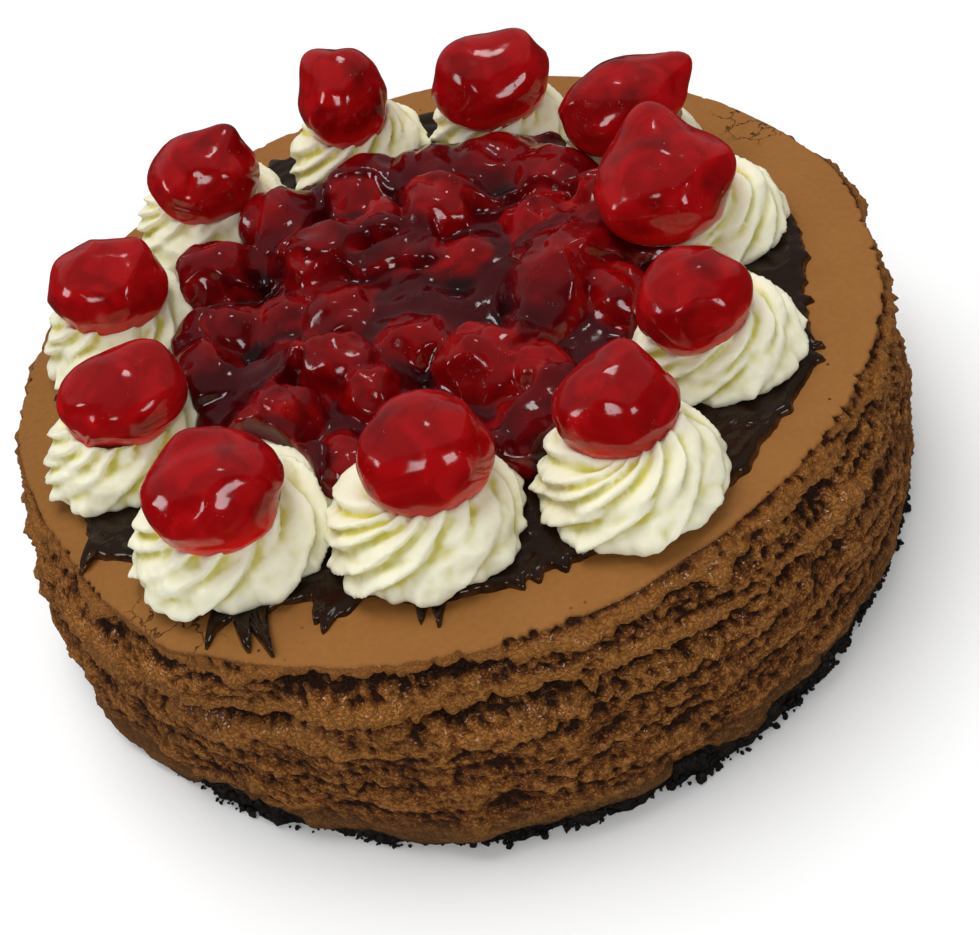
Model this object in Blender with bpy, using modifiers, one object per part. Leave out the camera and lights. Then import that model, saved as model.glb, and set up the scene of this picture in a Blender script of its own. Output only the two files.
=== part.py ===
"""Black forest cheesecake: a chocolate cheesecake on a thin cookie crust.

Its top holds a spread of dark fudge, a heap of cherries in gel in the middle, and
a ring of piped cream rosettes, each with one gel-covered cherry pressed into it.
Everything is in metres, +Z up, with the origin at the middle of the flat base.
"""

import math

import bmesh
import bpy
from mathutils import Matrix, Vector, noise

MM = 0.001
GAP = 0.4 * MM

# Cake and crust, as turned shapes
BASE_RADIUS = 112.6 * MM
TOP_RADIUS = 106.5 * MM
CAKE_HEIGHT = 56.0 * MM
CRUST_HEIGHT = 5.4 * MM
CRUST_RADIUS = 112.4 * MM
CAKE_STEPS = 76
SIDE_LEVELS = 10
SIDE_BULGE = 1.6 * MM
LIP_DROP = 3.2 * MM
LIP_ROUND = 1.5 * MM
CRAG_DEPTH = 3.0 * MM
CREVICE_HEIGHT = 41.0 * MM
CREVICE_DEPTH = 3.2 * MM
CRUMB_DEPTH = 1.3 * MM

# Fudge spread over the middle of the top
FUDGE_RADIUS = 91.5 * MM
FUDGE_THICK = 1.7 * MM
FUDGE_BEVEL = 1.1 * MM
FUDGE_STEPS = 112
FUDGE_WAVE = 2.6 * MM
# Drags of fudge past its edge: azimuth in degrees, reach and half-width at the root in mm
FUDGE_DRAGS = (
    (-128.0, 11.5, 4.5),
    (-119.5, 12.0, 6.0),
    (-148.0, 9.0, 6.0),
    (-101.0, 5.0, 5.0),
    (-60.0, 7.5, 8.0),
    (-38.0, 4.5, 6.0),
    (-16.0, 4.0, 9.0),
    (46.0, 5.0, 6.0),
    (110.0, 5.0, 7.0),
    (146.0, 5.0, 7.0),
)

# Cream rosettes and the cherries on them
ROSETTE_HEIGHT = 15.8 * MM
ROSETTE_LOBES = 8
STEPS_PER_LOBE = 3
ROSETTE_LEVELS = 8
LOBE_DEPTH = 0.10
ROSETTE_TWIST = math.radians(125.0)
ROSETTE_COILS = 2.0
COIL_DEPTH = 0.12
# Middle and half-width of each rosette in mm, from the left round the back
ROSETTES = (
    (-77.0, 24.0, 20.8),
    (-49.5, 62.5, 21.5),
    (-6.5, 73.5, 20.0),
    (33.0, 64.0, 19.8),
    (62.5, 37.0, 18.2),
    (71.5, -2.5, 21.4),
    (59.0, -44.0, 20.8),
    (29.5, -75.0, 21.3),
    (-14.0, -71.0, 21.6),
    (-57.0, -59.0, 22.4),
    (-78.0, -19.0, 20.8),
)
CHERRY_STEPS = 12
CHERRY_RINGS = 7
SINK = 7.5 * MM
# Middle of the cherry on each rosette in mm, its half-length, half-width and half-height
# in mm, and the azimuth of its length in degrees
CHERRIES = (
    (-74.0, 21.0, 15.0, 12.6, 11.8, -8.0),
    (-46.5, 58.5, 14.6, 13.4, 12.8, 12.0),
    (-6.0, 73.0, 12.2, 13.6, 14.2, 0.0),
    (33.0, 62.5, 16.2, 13.8, 13.8, 4.0),
    (62.0, 33.5, 16.8, 12.8, 13.0, 8.0),
    (65.5, -2.0, 18.0, 13.0, 13.2, 98.0),
    (55.5, -46.0, 12.8, 12.0, 11.4, 20.0),
    (30.0, -72.0, 13.2, 12.6, 12.0, -10.0),
    (-10.0, -71.0, 14.2, 13.2, 12.8, 0.0),
    (-55.0, -61.5, 14.8, 13.8, 13.4, 25.0),
    (-73.0, -21.5, 15.0, 12.8, 11.8, 6.0),
)

# Cherry filling: a low gel mound with whole cherries half out of it
MOUND_RADIUS = 66.0 * MM
MOUND_EDGE = 5.4 * MM
MOUND_RISE = 5.6 * MM
MOUND_STEPS = 48
MOUND_RINGS = (0.35, 0.68, 0.88, 0.97)
FILLING_CHERRY_STEPS = 9
FILLING_CHERRY_RINGS = 6
SHOWS_ABOVE_GEL = 0.62
# Place and radius of each cherry that shows in the filling, in mm
FILLING_CHERRIES = (
    (-32.0, 41.5, 11.3),
    (-46.0, 28.0, 10.8),
    (-48.0, 7.0, 10.6),
    (-6.0, 28.0, 9.7),
    (10.0, 17.5, 10.8),
    (-25.0, 16.5, 12.0),
    (-47.5, -11.0, 10.2),
    (-23.0, -21.5, 11.1),
    (-14.0, -36.5, 9.5),
    (-38.5, -33.0, 11.1),
    (-14.0, 46.0, 10.6),
    (7.5, -43.0, 11.8),
    (38.5, -10.0, 12.2),
    (45.0, -28.0, 9.9),
    (39.5, 20.0, 11.8),
    (25.5, -27.0, 10.8),
    (26.0, -45.0, 9.5),
    (-29.5, -51.0, 9.7),
    (20.5, 0.5, 10.6),
    (-3.5, -7.5, 10.2),
    (6.5, -24.0, 9.5),
    (24.5, 38.5, 10.4),
    (5.0, 49.5, 9.7),
    (-31.0, -4.0, 9.9),
)

# Heights that follow from the sizes above
CAKE_BOTTOM = CRUST_HEIGHT + GAP
FUDGE_BOTTOM = CAKE_HEIGHT + GAP
FUDGE_TOP = FUDGE_BOTTOM + FUDGE_THICK
TOPPING_BOTTOM = FUDGE_TOP + GAP


def clear_scene():
    for obj in list(bpy.data.objects):
        bpy.data.objects.remove(obj, do_unlink=True)


def new_collection(name):
    collection = bpy.data.collections.new(name)
    bpy.context.scene.collection.children.link(collection)
    return collection


def finish(name, colour, roughness, coat=0.0):
    material = bpy.data.materials.new(name)
    material.use_nodes = True
    shader = material.node_tree.nodes["Principled BSDF"]
    shader.inputs["Base Color"].default_value = (*colour, 1.0)
    shader.inputs["Roughness"].default_value = roughness
    shader.inputs["Metallic"].default_value = 0.0
    shader.inputs["Coat Weight"].default_value = coat
    return material


def new_object(name, mesh, collection, material):
    obj = bpy.data.objects.new(name, mesh)
    collection.objects.link(obj)
    obj.data.materials.append(material)
    return obj


def applied(obj):
    """Bakes an object's modifiers into its own mesh."""
    bpy.context.view_layer.update()
    graph = bpy.context.evaluated_depsgraph_get()
    mesh = bpy.data.meshes.new_from_object(obj.evaluated_get(graph))
    obj.modifiers.clear()
    obj.data = mesh
    return obj


def turned(name, profile, steps, collection, material):
    """A closed solid of revolution from (radius, height) points, from the top's middle
    down the outer side to the bottom's middle."""
    mesh = bpy.data.meshes.new(name)
    points = [(radius, 0.0, height) for radius, height in profile]
    edges = [(i, i + 1) for i in range(len(points) - 1)]
    mesh.from_pydata(points, edges, [])
    obj = new_object(name, mesh, collection, material)
    screw = obj.modifiers.new("turn", "SCREW")
    screw.steps = screw.render_steps = steps
    screw.use_merge_vertices = True
    screw.merge_threshold = 0.02 * MM
    return applied(obj)


def rough(point, scale, octaves, seed):
    """Smooth noise between about -1 and 1 at a point, with `scale` waves to the metre."""
    where = Vector(point) * scale + Vector((seed, 2.0 * seed, 3.0 * seed))
    return noise.fractal(where, 0.7, 2.0, octaves)


def smoothstep(low, high, value):
    share = min(1.0, max(0.0, (value - low) / (high - low)))
    return share * share * (3.0 - 2.0 * share)


def side_radius(height):
    """The cake's outer radius before its crags: a slight taper with a soft bulge."""
    share = (height - CAKE_BOTTOM) / (CAKE_HEIGHT - CAKE_BOTTOM)
    taper = BASE_RADIUS + (TOP_RADIUS + LIP_ROUND - BASE_RADIUS) * share
    return taper + SIDE_BULGE * math.sin(math.pi * share)


def crag(x, y, height):
    """How far the torn side stands out or in: long flat ledges, lumps and one deep crevice that
    wanders round below the lip."""
    wander = 3.4 * MM * rough((x, y, 0.0), 17.0, 2, 3.0)
    torn = 0.55 + 0.9 * rough((x, y, 0.0), 21.0, 1, 13.0)
    away = (height + wander - CREVICE_HEIGHT) / (3.0 * MM)
    crevice = CREVICE_DEPTH * min(1.0, max(0.0, torn)) * math.exp(-away * away)
    ledges = rough((0.3 * x, 0.3 * y, height + 0.4 * wander), 110.0, 2, 7.0)
    lumps = rough((x, y, height), 58.0, 2, 11.0)
    return CRAG_DEPTH * (0.9 * ledges + 0.5 * lumps) - crevice


def build_cheesecake(collection):
    material = finish("chocolate cheesecake", (0.20, 0.095, 0.035), 0.62)
    lip_bottom = CAKE_HEIGHT - LIP_DROP
    levels = [
        lip_bottom - (lip_bottom - CAKE_BOTTOM) * i / SIDE_LEVELS
        for i in range(SIDE_LEVELS + 1)
    ]
    profile = [(0.0, CAKE_HEIGHT), (0.55 * TOP_RADIUS, CAKE_HEIGHT)]
    profile.append((TOP_RADIUS - LIP_ROUND, CAKE_HEIGHT))
    profile.append((TOP_RADIUS + 0.5 * LIP_ROUND, CAKE_HEIGHT - 0.35 * LIP_ROUND))
    profile.append((side_radius(CAKE_HEIGHT - LIP_ROUND), CAKE_HEIGHT - LIP_ROUND))
    profile += [(side_radius(height), height) for height in levels]
    profile.append((0.0, CAKE_BOTTOM))
    cake = turned("cheesecake", profile, CAKE_STEPS, collection, material)
    for vertex in cake.data.vertices:
        x, y, z = vertex.co
        radius = math.hypot(x, y)
        if radius < TOP_RADIUS:
            continue
        # The lip and the lowest row stay nearly true, and the torn part between them is craggy
        share = 0.25 + 0.75 * smoothstep(CAKE_HEIGHT, lip_bottom, z)
        scale = 1.0 + share * crag(x, y, z) / radius
        vertex.co = (x * scale, y * scale, z)
    return cake


def build_crust(collection):
    material = finish("dark cookie crust", (0.012, 0.009, 0.007), 0.85)
    levels = [CRUST_HEIGHT * i / 3.0 for i in range(3, -1, -1)]
    profile = [(0.0, CRUST_HEIGHT)]
    profile += [(CRUST_RADIUS, height) for height in levels]
    profile.append((0.0, 0.0))
    crust = turned("cookie_crust", profile, CAKE_STEPS + 12, collection, material)
    for vertex in crust.data.vertices:
        x, y, z = vertex.co
        radius = math.hypot(x, y)
        if radius < 0.5 * CRUST_RADIUS:
            continue
        scale = 1.0 + CRUMB_DEPTH * rough((x, y, 2.0 * z), 150.0, 3, 5.0) / radius
        vertex.co = (x * scale, y * scale, z)
    return crust


def fudge_reach(angle):
    """The fudge's outer radius at an azimuth: a wavy edge with a few pointed drags."""
    edge = Vector((math.cos(angle), math.sin(angle), 0.0)) * FUDGE_RADIUS
    reach = FUDGE_RADIUS + FUDGE_WAVE * rough(edge, 55.0, 2, 9.0)
    for azimuth, length, width in FUDGE_DRAGS:
        turn = math.remainder(angle - math.radians(azimuth), math.tau)
        away = abs(turn) * FUDGE_RADIUS / (width * MM)
        reach += length * MM * max(0.0, 1.0 - away) ** 1.3
    return min(reach, TOP_RADIUS - 1.5 * MM)


def build_fudge(collection):
    material = finish("dark fudge", (0.012, 0.006, 0.004), 0.16, coat=0.6)
    shape = bmesh.new()
    bmesh.ops.create_circle(shape, cap_ends=True, segments=FUDGE_STEPS, radius=FUDGE_RADIUS)
    for vertex in shape.verts:
        angle = math.atan2(vertex.co.y, vertex.co.x)
        reach = fudge_reach(angle)
        vertex.co = (reach * math.cos(angle), reach * math.sin(angle), FUDGE_BOTTOM)
    floor = shape.faces[:]
    raised = bmesh.ops.extrude_face_region(shape, geom=floor, use_keep_orig=True)
    rim = [item for item in raised["geom"] if isinstance(item, bmesh.types.BMVert)]
    for vertex in rim:
        radius = math.hypot(vertex.co.x, vertex.co.y)
        scale = 1.0 - FUDGE_BEVEL / radius
        vertex.co = (vertex.co.x * scale, vertex.co.y * scale, FUDGE_TOP)
    bmesh.ops.recalc_face_normals(shape, faces=shape.faces)
    mesh = bpy.data.meshes.new("fudge_layer")
    shape.to_mesh(mesh)
    shape.free()
    return new_object("fudge_layer", mesh, collection, material)


def cherry_middle(row):
    """A cherry is pressed into its rosette by SINK."""
    height = TOPPING_BOTTOM + ROSETTE_HEIGHT - SINK + row[4] * MM
    return Vector((row[0] * MM, row[1] * MM, height))


def cherry_mesh(name, row, index, grow):
    """A gel-covered cherry: an uneven ball with a soft nub, `grow` larger all round."""
    shape = bmesh.new()
    bmesh.ops.create_uvsphere(
        shape, u_segments=CHERRY_STEPS, v_segments=CHERRY_RINGS, radius=1.0
    )
    bmesh.ops.triangulate(shape, faces=shape.faces)
    nub = Vector((math.cos(2.1 * index), math.sin(2.1 * index), 0.7)).normalized()
    turn = Matrix.Rotation(math.radians(row[5]), 3, "Z")
    for vertex in shape.verts:
        way = vertex.co.normalized()
        swell = 1.0 + 0.07 * rough(way, 1.4, 2, 1.0 + index)
        swell += 0.13 * max(0.0, way.dot(nub)) ** 6
        sizes = [half * MM * swell + grow for half in row[2:5]]
        vertex.co = Vector([part * size for part, size in zip(way, sizes)])
    bmesh.ops.rotate(shape, verts=shape.verts, matrix=turn)
    bmesh.ops.translate(shape, verts=shape.verts, vec=cherry_middle(row))
    mesh = bpy.data.meshes.new(name)
    shape.to_mesh(mesh)
    shape.free()
    mesh.shade_smooth()
    return mesh


def swirl_radius(half_width, share, turn, lobe):
    """A swirl's radius at a share of its height: it narrows upwards, and a groove that climbs
    round it parts one coil from the next."""
    narrow = 1.0 - 0.16 * share**1.4 - 0.12 * smoothstep(0.86, 1.0, share)
    foot = 1.0 - 0.08 * (1.0 - smoothstep(0.0, 0.16, share))
    coil = 0.5 + 0.5 * math.cos(math.tau * (ROSETTE_COILS * share - turn - 0.3))
    groove = 1.0 - COIL_DEPTH * coil * smoothstep(0.0, 0.2, share)
    ridge = 1.0 - LOBE_DEPTH * (0.5 - 0.5 * math.cos(math.tau * lobe))
    return half_width * narrow * foot * groove * ridge


def rosette_mesh(name, row, index):
    """A piped swirl: star ridges that wind round as they climb, in coils."""
    middle = Vector((row[0] * MM, row[1] * MM, TOPPING_BOTTOM))
    shape = bmesh.new()
    rings = []
    count = ROSETTE_LOBES * STEPS_PER_LOBE
    for level in range(ROSETTE_LEVELS):
        share = level / (ROSETTE_LEVELS - 1)
        ring = []
        for step in range(count):
            angle = math.tau * step / count + ROSETTE_TWIST * share
            radius = swirl_radius(
                row[2] * MM, share, angle / math.tau, step / STEPS_PER_LOBE
            )
            angle += 1.3 * index
            offset = Vector((math.cos(angle), math.sin(angle), 0.0)) * radius
            offset.z = ROSETTE_HEIGHT * share
            ring.append(shape.verts.new(middle + offset))
        rings.append(ring)
    for low, high in zip(rings, rings[1:]):
        for step in range(count):
            after = (step + 1) % count
            shape.faces.new((low[step], low[after], high[after], high[step]))
    shape.faces.new(list(reversed(rings[0])))
    shape.faces.new(rings[-1])
    bmesh.ops.triangulate(shape, faces=shape.faces)
    mesh = bpy.data.meshes.new(name)
    shape.to_mesh(mesh)
    shape.free()
    return mesh


def build_rosettes(collection, cutters):
    cream = finish("whipped cream", (0.86, 0.83, 0.66), 0.55)
    glaze = finish("cherry in gel", (0.36, 0.006, 0.008), 0.12, coat=0.8)
    for index, (row, cherry_row) in enumerate(zip(ROSETTES, CHERRIES)):
        number = f"{index + 1:02d}"
        mesh = cherry_mesh(f"cherry_{number}", cherry_row, index, 0.0)
        new_object(f"cherry_{number}", mesh, collection, glaze)
        mesh = cherry_mesh(f"dent_{number}", cherry_row, index, GAP)
        dent = new_object(f"dent_{number}", mesh, cutters, glaze)
        mesh = rosette_mesh(f"rosette_{number}", row, index)
        rosette = new_object(f"rosette_{number}", mesh, collection, cream)
        seat = rosette.modifiers.new("cherry seat", "BOOLEAN")
        seat.operation = "DIFFERENCE"
        seat.object = dent
        applied(rosette)
        bpy.data.objects.remove(dent, do_unlink=True)


def clear_of_rosettes(point):
    """Moves a point that lies within a rosette's reach straight out to its edge."""
    for x, y, half_width in ROSETTES:
        away = Vector((point.x - x * MM, point.y - y * MM, 0.0))
        least = half_width * MM + 2.0 * GAP
        if away.length < least:
            point = point + away.normalized() * (least - away.length)
    return point


def mound_reach(angle):
    """The filling's outer radius at an azimuth: it fills the bays between the rosettes."""
    reach = MOUND_RADIUS
    way = Vector((math.cos(angle), math.sin(angle)))
    for x, y, half_width in ROSETTES:
        middle = Vector((x, y)) * MM
        along = middle.dot(way)
        aside = math.sqrt(max(0.0, middle.length_squared - along * along))
        clear = half_width * MM + 2.0 * GAP
        if along > 0.0 and aside < clear:
            reach = min(reach, along - math.sqrt(clear * clear - aside * aside))
    return reach


def mound_height(x, y):
    """The gel's height over the fudge at a point, away from its rounded edge."""
    share = min(1.0, math.hypot(x, y) / MOUND_RADIUS)
    waves = 0.9 * MM * rough((x, y, 0.0), 38.0, 2, 2.0)
    return MOUND_EDGE + MOUND_RISE * (1.0 - share * share) + waves


def mound_mesh():
    shape = bmesh.new()
    foot = []
    rings = []
    for step in range(MOUND_STEPS):
        angle = math.tau * step / MOUND_STEPS
        reach = mound_reach(angle)
        foot.append(
            shape.verts.new(
                (reach * math.cos(angle), reach * math.sin(angle), TOPPING_BOTTOM)
            )
        )
    for share in reversed(MOUND_RINGS):
        ring = []
        for step in range(MOUND_STEPS):
            angle = math.tau * step / MOUND_STEPS
            reach = mound_reach(angle)
            x = share * reach * math.cos(angle)
            y = share * reach * math.sin(angle)
            drop = 0.45 * smoothstep(0.72, 1.0, share)
            z = TOPPING_BOTTOM + mound_height(x, y) * (1.0 - drop)
            ring.append(shape.verts.new((x, y, z)))
        rings.append(ring)
    top = shape.verts.new((0.0, 0.0, TOPPING_BOTTOM + mound_height(0.0, 0.0)))
    rings.insert(0, foot)
    for low, high in zip(rings, rings[1:]):
        for step in range(MOUND_STEPS):
            after = (step + 1) % MOUND_STEPS
            shape.faces.new((low[step], low[after], high[after], high[step]))
    for step in range(MOUND_STEPS):
        after = (step + 1) % MOUND_STEPS
        shape.faces.new((rings[-1][step], rings[-1][after], top))
    shape.faces.new(list(reversed(foot)))
    bmesh.ops.triangulate(shape, faces=shape.faces)
    mesh = bpy.data.meshes.new("cherry_filling")
    shape.to_mesh(mesh)
    shape.free()
    return mesh


def filling_cherry_mesh(index, x, y, radius):
    shape = bmesh.new()
    bmesh.ops.create_uvsphere(
        shape,
        u_segments=FILLING_CHERRY_STEPS,
        v_segments=FILLING_CHERRY_RINGS,
        radius=radius,
    )
    gel = TOPPING_BOTTOM + mound_height(x, y)
    middle = Vector((x, y, gel + radius * (SHOWS_ABOVE_GEL - 0.9)))
    for vertex in shape.verts:
        way = vertex.co.normalized()
        vertex.co *= 1.0 + 0.08 * rough(way, 1.3, 2, 20.0 + index)
        vertex.co.rotate(Vector((0.0, 0.0, 1.0)).rotation_difference(Vector((0.3, 0.2, 1.0))))
        vertex.co.z *= 0.9
        vertex.co = clear_of_rosettes(vertex.co + middle)
        vertex.co.z = max(vertex.co.z, TOPPING_BOTTOM + 0.5 * MM)
    mesh = bpy.data.meshes.new(f"filling_cherry_{index}")
    shape.to_mesh(mesh)
    shape.free()
    return mesh


def build_filling(collection, helpers):
    glaze = finish("cherries in dark gel", (0.20, 0.005, 0.008), 0.14, coat=0.8)
    mound = new_object("cherry_filling", mound_mesh(), collection, glaze)
    cherries = bpy.data.collections.new("filling cherries")
    helpers.children.link(cherries)
    for index, (x, y, radius) in enumerate(FILLING_CHERRIES):
        mesh = filling_cherry_mesh(index, x * MM, y * MM, radius * MM)
        new_object(f"filling_cherry_{index}", mesh, cherries, glaze)
    fuse = mound.modifiers.new("fuse cherries", "BOOLEAN")
    fuse.operation = "UNION"
    fuse.operand_type = "COLLECTION"
    fuse.collection = cherries
    fuse.solver = "EXACT"
    applied(mound)
    for obj in list(cherries.objects):
        bpy.data.objects.remove(obj, do_unlink=True)
    bpy.data.collections.remove(cherries)
    return mound


def main():
    clear_scene()
    parts = new_collection("black forest cheesecake")
    helpers = new_collection("helpers")
    build_crust(parts)
    build_cheesecake(parts)
    build_fudge(parts)
    build_filling(parts, helpers)
    build_rosettes(parts, helpers)
    bpy.data.collections.remove(helpers)


main()
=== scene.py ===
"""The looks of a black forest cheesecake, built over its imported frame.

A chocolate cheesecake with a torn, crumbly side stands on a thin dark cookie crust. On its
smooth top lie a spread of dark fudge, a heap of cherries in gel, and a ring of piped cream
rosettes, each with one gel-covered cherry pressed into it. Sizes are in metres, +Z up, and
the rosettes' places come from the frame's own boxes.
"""

import logging
import math
from dataclasses import dataclass, field
from enum import Enum

import bmesh
import bpy
import numpy as np
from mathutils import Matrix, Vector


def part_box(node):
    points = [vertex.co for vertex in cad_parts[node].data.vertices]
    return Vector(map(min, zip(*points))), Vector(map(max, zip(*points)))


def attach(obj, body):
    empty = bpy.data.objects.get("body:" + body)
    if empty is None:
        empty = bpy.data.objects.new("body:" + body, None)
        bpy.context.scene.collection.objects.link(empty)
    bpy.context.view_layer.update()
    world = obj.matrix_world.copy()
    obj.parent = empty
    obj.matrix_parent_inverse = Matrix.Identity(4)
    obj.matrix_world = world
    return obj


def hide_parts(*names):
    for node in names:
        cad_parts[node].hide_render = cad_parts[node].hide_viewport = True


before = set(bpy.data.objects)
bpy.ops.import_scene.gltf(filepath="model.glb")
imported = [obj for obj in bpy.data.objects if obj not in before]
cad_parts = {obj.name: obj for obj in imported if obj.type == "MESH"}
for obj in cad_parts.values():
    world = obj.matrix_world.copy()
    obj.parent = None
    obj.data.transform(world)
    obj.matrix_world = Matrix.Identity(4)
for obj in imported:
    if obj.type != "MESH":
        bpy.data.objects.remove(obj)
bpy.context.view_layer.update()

import openvdb
from mathutils import Matrix, Vector, noise

MM = 0.001
TAU = math.tau
LOG = logging.getLogger("cheesecake")

# Heights over the floor, as the solids have them
CAKE_HEIGHT = 56.0 * MM
CAKE_BOTTOM = 5.8 * MM
CRUST_HEIGHT = 5.4 * MM
FUDGE_BOTTOM = 56.4 * MM
TOPPING_BOTTOM = 58.5 * MM
ROSETTE_HEIGHT = 15.8 * MM
# How deep a cherry sits in its rosette
SINK = 7.5 * MM
# A distance that counts as far away, in metres
FAR = 0.02

Colour = tuple[float, float, float]
Marks = dict[str, np.ndarray]
Place = tuple[float, float, float]
Piece = bpy.types.Object
Mesh = bpy.types.Mesh
Material = bpy.types.Material
Node = bpy.types.Node
NodeTree = bpy.types.NodeTree
Socket = bpy.types.NodeSocket

# A point times this lies in the floor's plane
LEVEL = (1.0, 1.0, 0.0)
# The eight corners of a grid cell
CORNERS = [np.array([corner & 1, corner >> 1 & 1, corner >> 2 & 1]) for corner in range(8)]
# Directions from a cube's middle to its twelve edges, four of them twice
GRADIENTS = np.array(
    [
        (x, y, z)
        for x in (-1.0, 0.0, 1.0)
        for y in (-1.0, 0.0, 1.0)
        for z in (-1.0, 0.0, 1.0)
        if abs(x) + abs(y) + abs(z) == 2.0
    ]
    + [(1.0, 1.0, 0.0), (-1.0, 1.0, 0.0), (0.0, -1.0, 1.0), (0.0, -1.0, -1.0)]
)
# Odd factors and shifts that scatter whole numbers of 32 bits
CELL_FACTORS = (0x8DA6B343, 0xD8163841, 0xCB1AB31F)
SEED_FACTOR = 0x9E3779B1
SEED_START = 12345
STIRS = ((15, 0x2C1B3C6D), (12, 0x297A2D39))
LAST_SHIFT = 15
WORD = 0xFFFFFFFF
# How far the noise's lattice moves for each seed, and how each octave gets a seed of its own
SEED_SHIFT = 0.37
OCTAVE_SEED = 31
# Brings the noise to about -1 to 1
WAVE_GAIN = 1.6


class Slot(Enum):
    """The record's material slots."""

    CRUST = "crust"
    CHEESECAKE = "cheesecake"
    FUDGE = "fudge"
    FILLING = "filling"
    CREAM = "cream"
    CHERRY = "cherry"


def smoothstep(low: float, high: float, value: np.ndarray | float) -> np.ndarray:
    """Eases from 0 at low to 1 at high.

    Args:
        low: Where the step starts.
        high: Where the step ends; it may be below low.
        value: What is stepped.

    Returns:
        The share of the step, from 0 to 1.
    """
    share = np.clip((np.asarray(value) - low) / (high - low), 0.0, 1.0)
    return share * share * (3.0 - 2.0 * share)


def mixed(cells: np.ndarray, seed: int) -> np.ndarray:
    """Picks one of sixteen gradients for each lattice cell.

    Args:
        cells: Whole-number cells, one row each.
        seed: Which lattice.

    Returns:
        A number from 0 to 15 for each cell.
    """
    parts = cells.astype(np.int64).astype(np.uint32)
    code = np.full(len(parts), (seed * SEED_FACTOR + SEED_START) & WORD, np.uint32)
    for axis, factor in enumerate(CELL_FACTORS):
        code ^= parts[:, axis] * np.uint32(factor)
    for shift, factor in STIRS:
        code ^= code >> np.uint32(shift)
        code *= np.uint32(factor)
    code ^= code >> np.uint32(LAST_SHIFT)
    return code & np.uint32(len(GRADIENTS) - 1)


def waves(points: np.ndarray, length: float, octaves: int = 2, seed: int = 0) -> np.ndarray:
    """Smooth noise between about -1 and 1.

    Args:
        points: Places, one row of three each.
        length: The longest wave, in the points' unit.
        octaves: How many waves are added, each half as long and half as high.
        seed: Which noise.

    Returns:
        One value for each point.
    """
    total = np.zeros(len(points))
    reach = 0.0
    for octave in range(octaves):
        spot = points * (2.0**octave / length) + SEED_SHIFT * (seed + 1)
        cell = np.floor(spot)
        part = spot - cell
        ease = part**3 * (part * (part * 6.0 - 15.0) + 10.0)
        weight = 0.5**octave
        for step in CORNERS:
            lean = GRADIENTS[mixed(cell + step, seed + OCTAVE_SEED * octave)]
            share = np.prod(np.where(step > 0, ease, 1.0 - ease), axis=1)
            total += weight * share * np.einsum("ij,ij->i", lean, part - step)
        reach += weight
    return WAVE_GAIN * total / reach


def rough(point: Place, scale: float, octaves: int, seed: float) -> float:
    """The noise that the solids were shaped with.

    Args:
        point: A place in metres.
        scale: Waves to the metre.
        octaves: How many waves are added.
        seed: Which noise.

    Returns:
        A value between about -1 and 1.
    """
    where = Vector(point) * scale + Vector((seed, 2.0 * seed, 3.0 * seed))
    return noise.fractal(where, 0.7, 2.0, octaves)


def around(angles: np.ndarray, radius: float) -> np.ndarray:
    """Points on a level circle, for noise that closes on itself.

    Args:
        angles: Azimuths in radians.
        radius: The circle's radius.

    Returns:
        One row of three for each azimuth.
    """
    return np.stack([np.cos(angles), np.sin(angles), 0.0 * angles], axis=1) * radius


def circle_steps(count: int) -> np.ndarray:
    """Evenly spaced azimuths that go once round."""
    return np.linspace(0.0, TAU, count, endpoint=False)


def turned_from(angles: np.ndarray, azimuth: float) -> np.ndarray:
    """How far angles in radians are turned from an azimuth in degrees, at most half round."""
    return np.remainder(angles - math.radians(azimuth) + math.pi, TAU) - math.pi


def ring_faces(rings: int, steps: int) -> list[tuple[int, ...]]:
    """Faces of a skin over closed rings, whose first ring lies inmost on top.

    Args:
        rings: How many rings.
        steps: Points in each ring.

    Returns:
        Quads between the rings, and a fan at each end around two added middle points.
    """
    low = np.arange(steps)
    high = (low + 1) % steps
    faces: list[tuple[int, ...]] = []
    for ring in range(rings - 1):
        here, there = ring * steps, (ring + 1) * steps
        quads = np.stack([here + low, there + low, there + high, here + high], axis=1)
        faces += quads.tolist()
    top, bottom, last = rings * steps, rings * steps + 1, (rings - 1) * steps
    faces += [(top, int(a), int(b)) for a, b in zip(low, high)]
    faces += [(bottom, int(last + b), int(last + a)) for a, b in zip(low, high)]
    return faces


def mark_piece(piece: Piece, mark: str, values: np.ndarray) -> None:
    """Writes one value for each vertex, which the finish reads by name."""
    layer = piece.data.attributes.new(mark, "FLOAT", "POINT")
    layer.data.foreach_set("value", np.asarray(values, np.float32))


def vectors_of(mesh: Mesh, kind: str) -> np.ndarray:
    """Reads a vector of each vertex.

    Args:
        mesh: The mesh.
        kind: Blender's name for it: co for the place, normal for the normal.

    Returns:
        One row of three for each vertex.
    """
    flat = np.empty(len(mesh.vertices) * 3)
    mesh.vertices.foreach_get(kind, flat)
    return flat.reshape(-1, 3)


def new_piece(
    name: str, points: np.ndarray, faces: list, marks: Marks | None = None
) -> Piece:
    """Makes a smooth-shaded mesh object.

    Args:
        name: The piece's name.
        points: Vertices in metres.
        faces: Vertex numbers of each face.
        marks: Values from 0 to 1 at each vertex, which the finish reads by name.

    Returns:
        The object, linked into the scene.
    """
    mesh = bpy.data.meshes.new(name)
    mesh.from_pydata(np.asarray(points).tolist(), [], faces)
    mesh.validate()
    mesh.shade_smooth()
    piece = bpy.data.objects.new(name, mesh)
    bpy.context.scene.collection.objects.link(piece)
    for mark, values in (marks or {}).items():
        mark_piece(piece, mark, values)
    return piece


def soften(piece: Piece, factor: float, passes: int) -> None:
    """Smooths a piece a little.

    Args:
        piece: The piece.
        factor: How far each point moves towards its neighbours' middle.
        passes: How many times.
    """
    smoothing = piece.modifiers.new("soften", "SMOOTH")
    smoothing.factor = factor
    smoothing.iterations = passes


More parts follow.
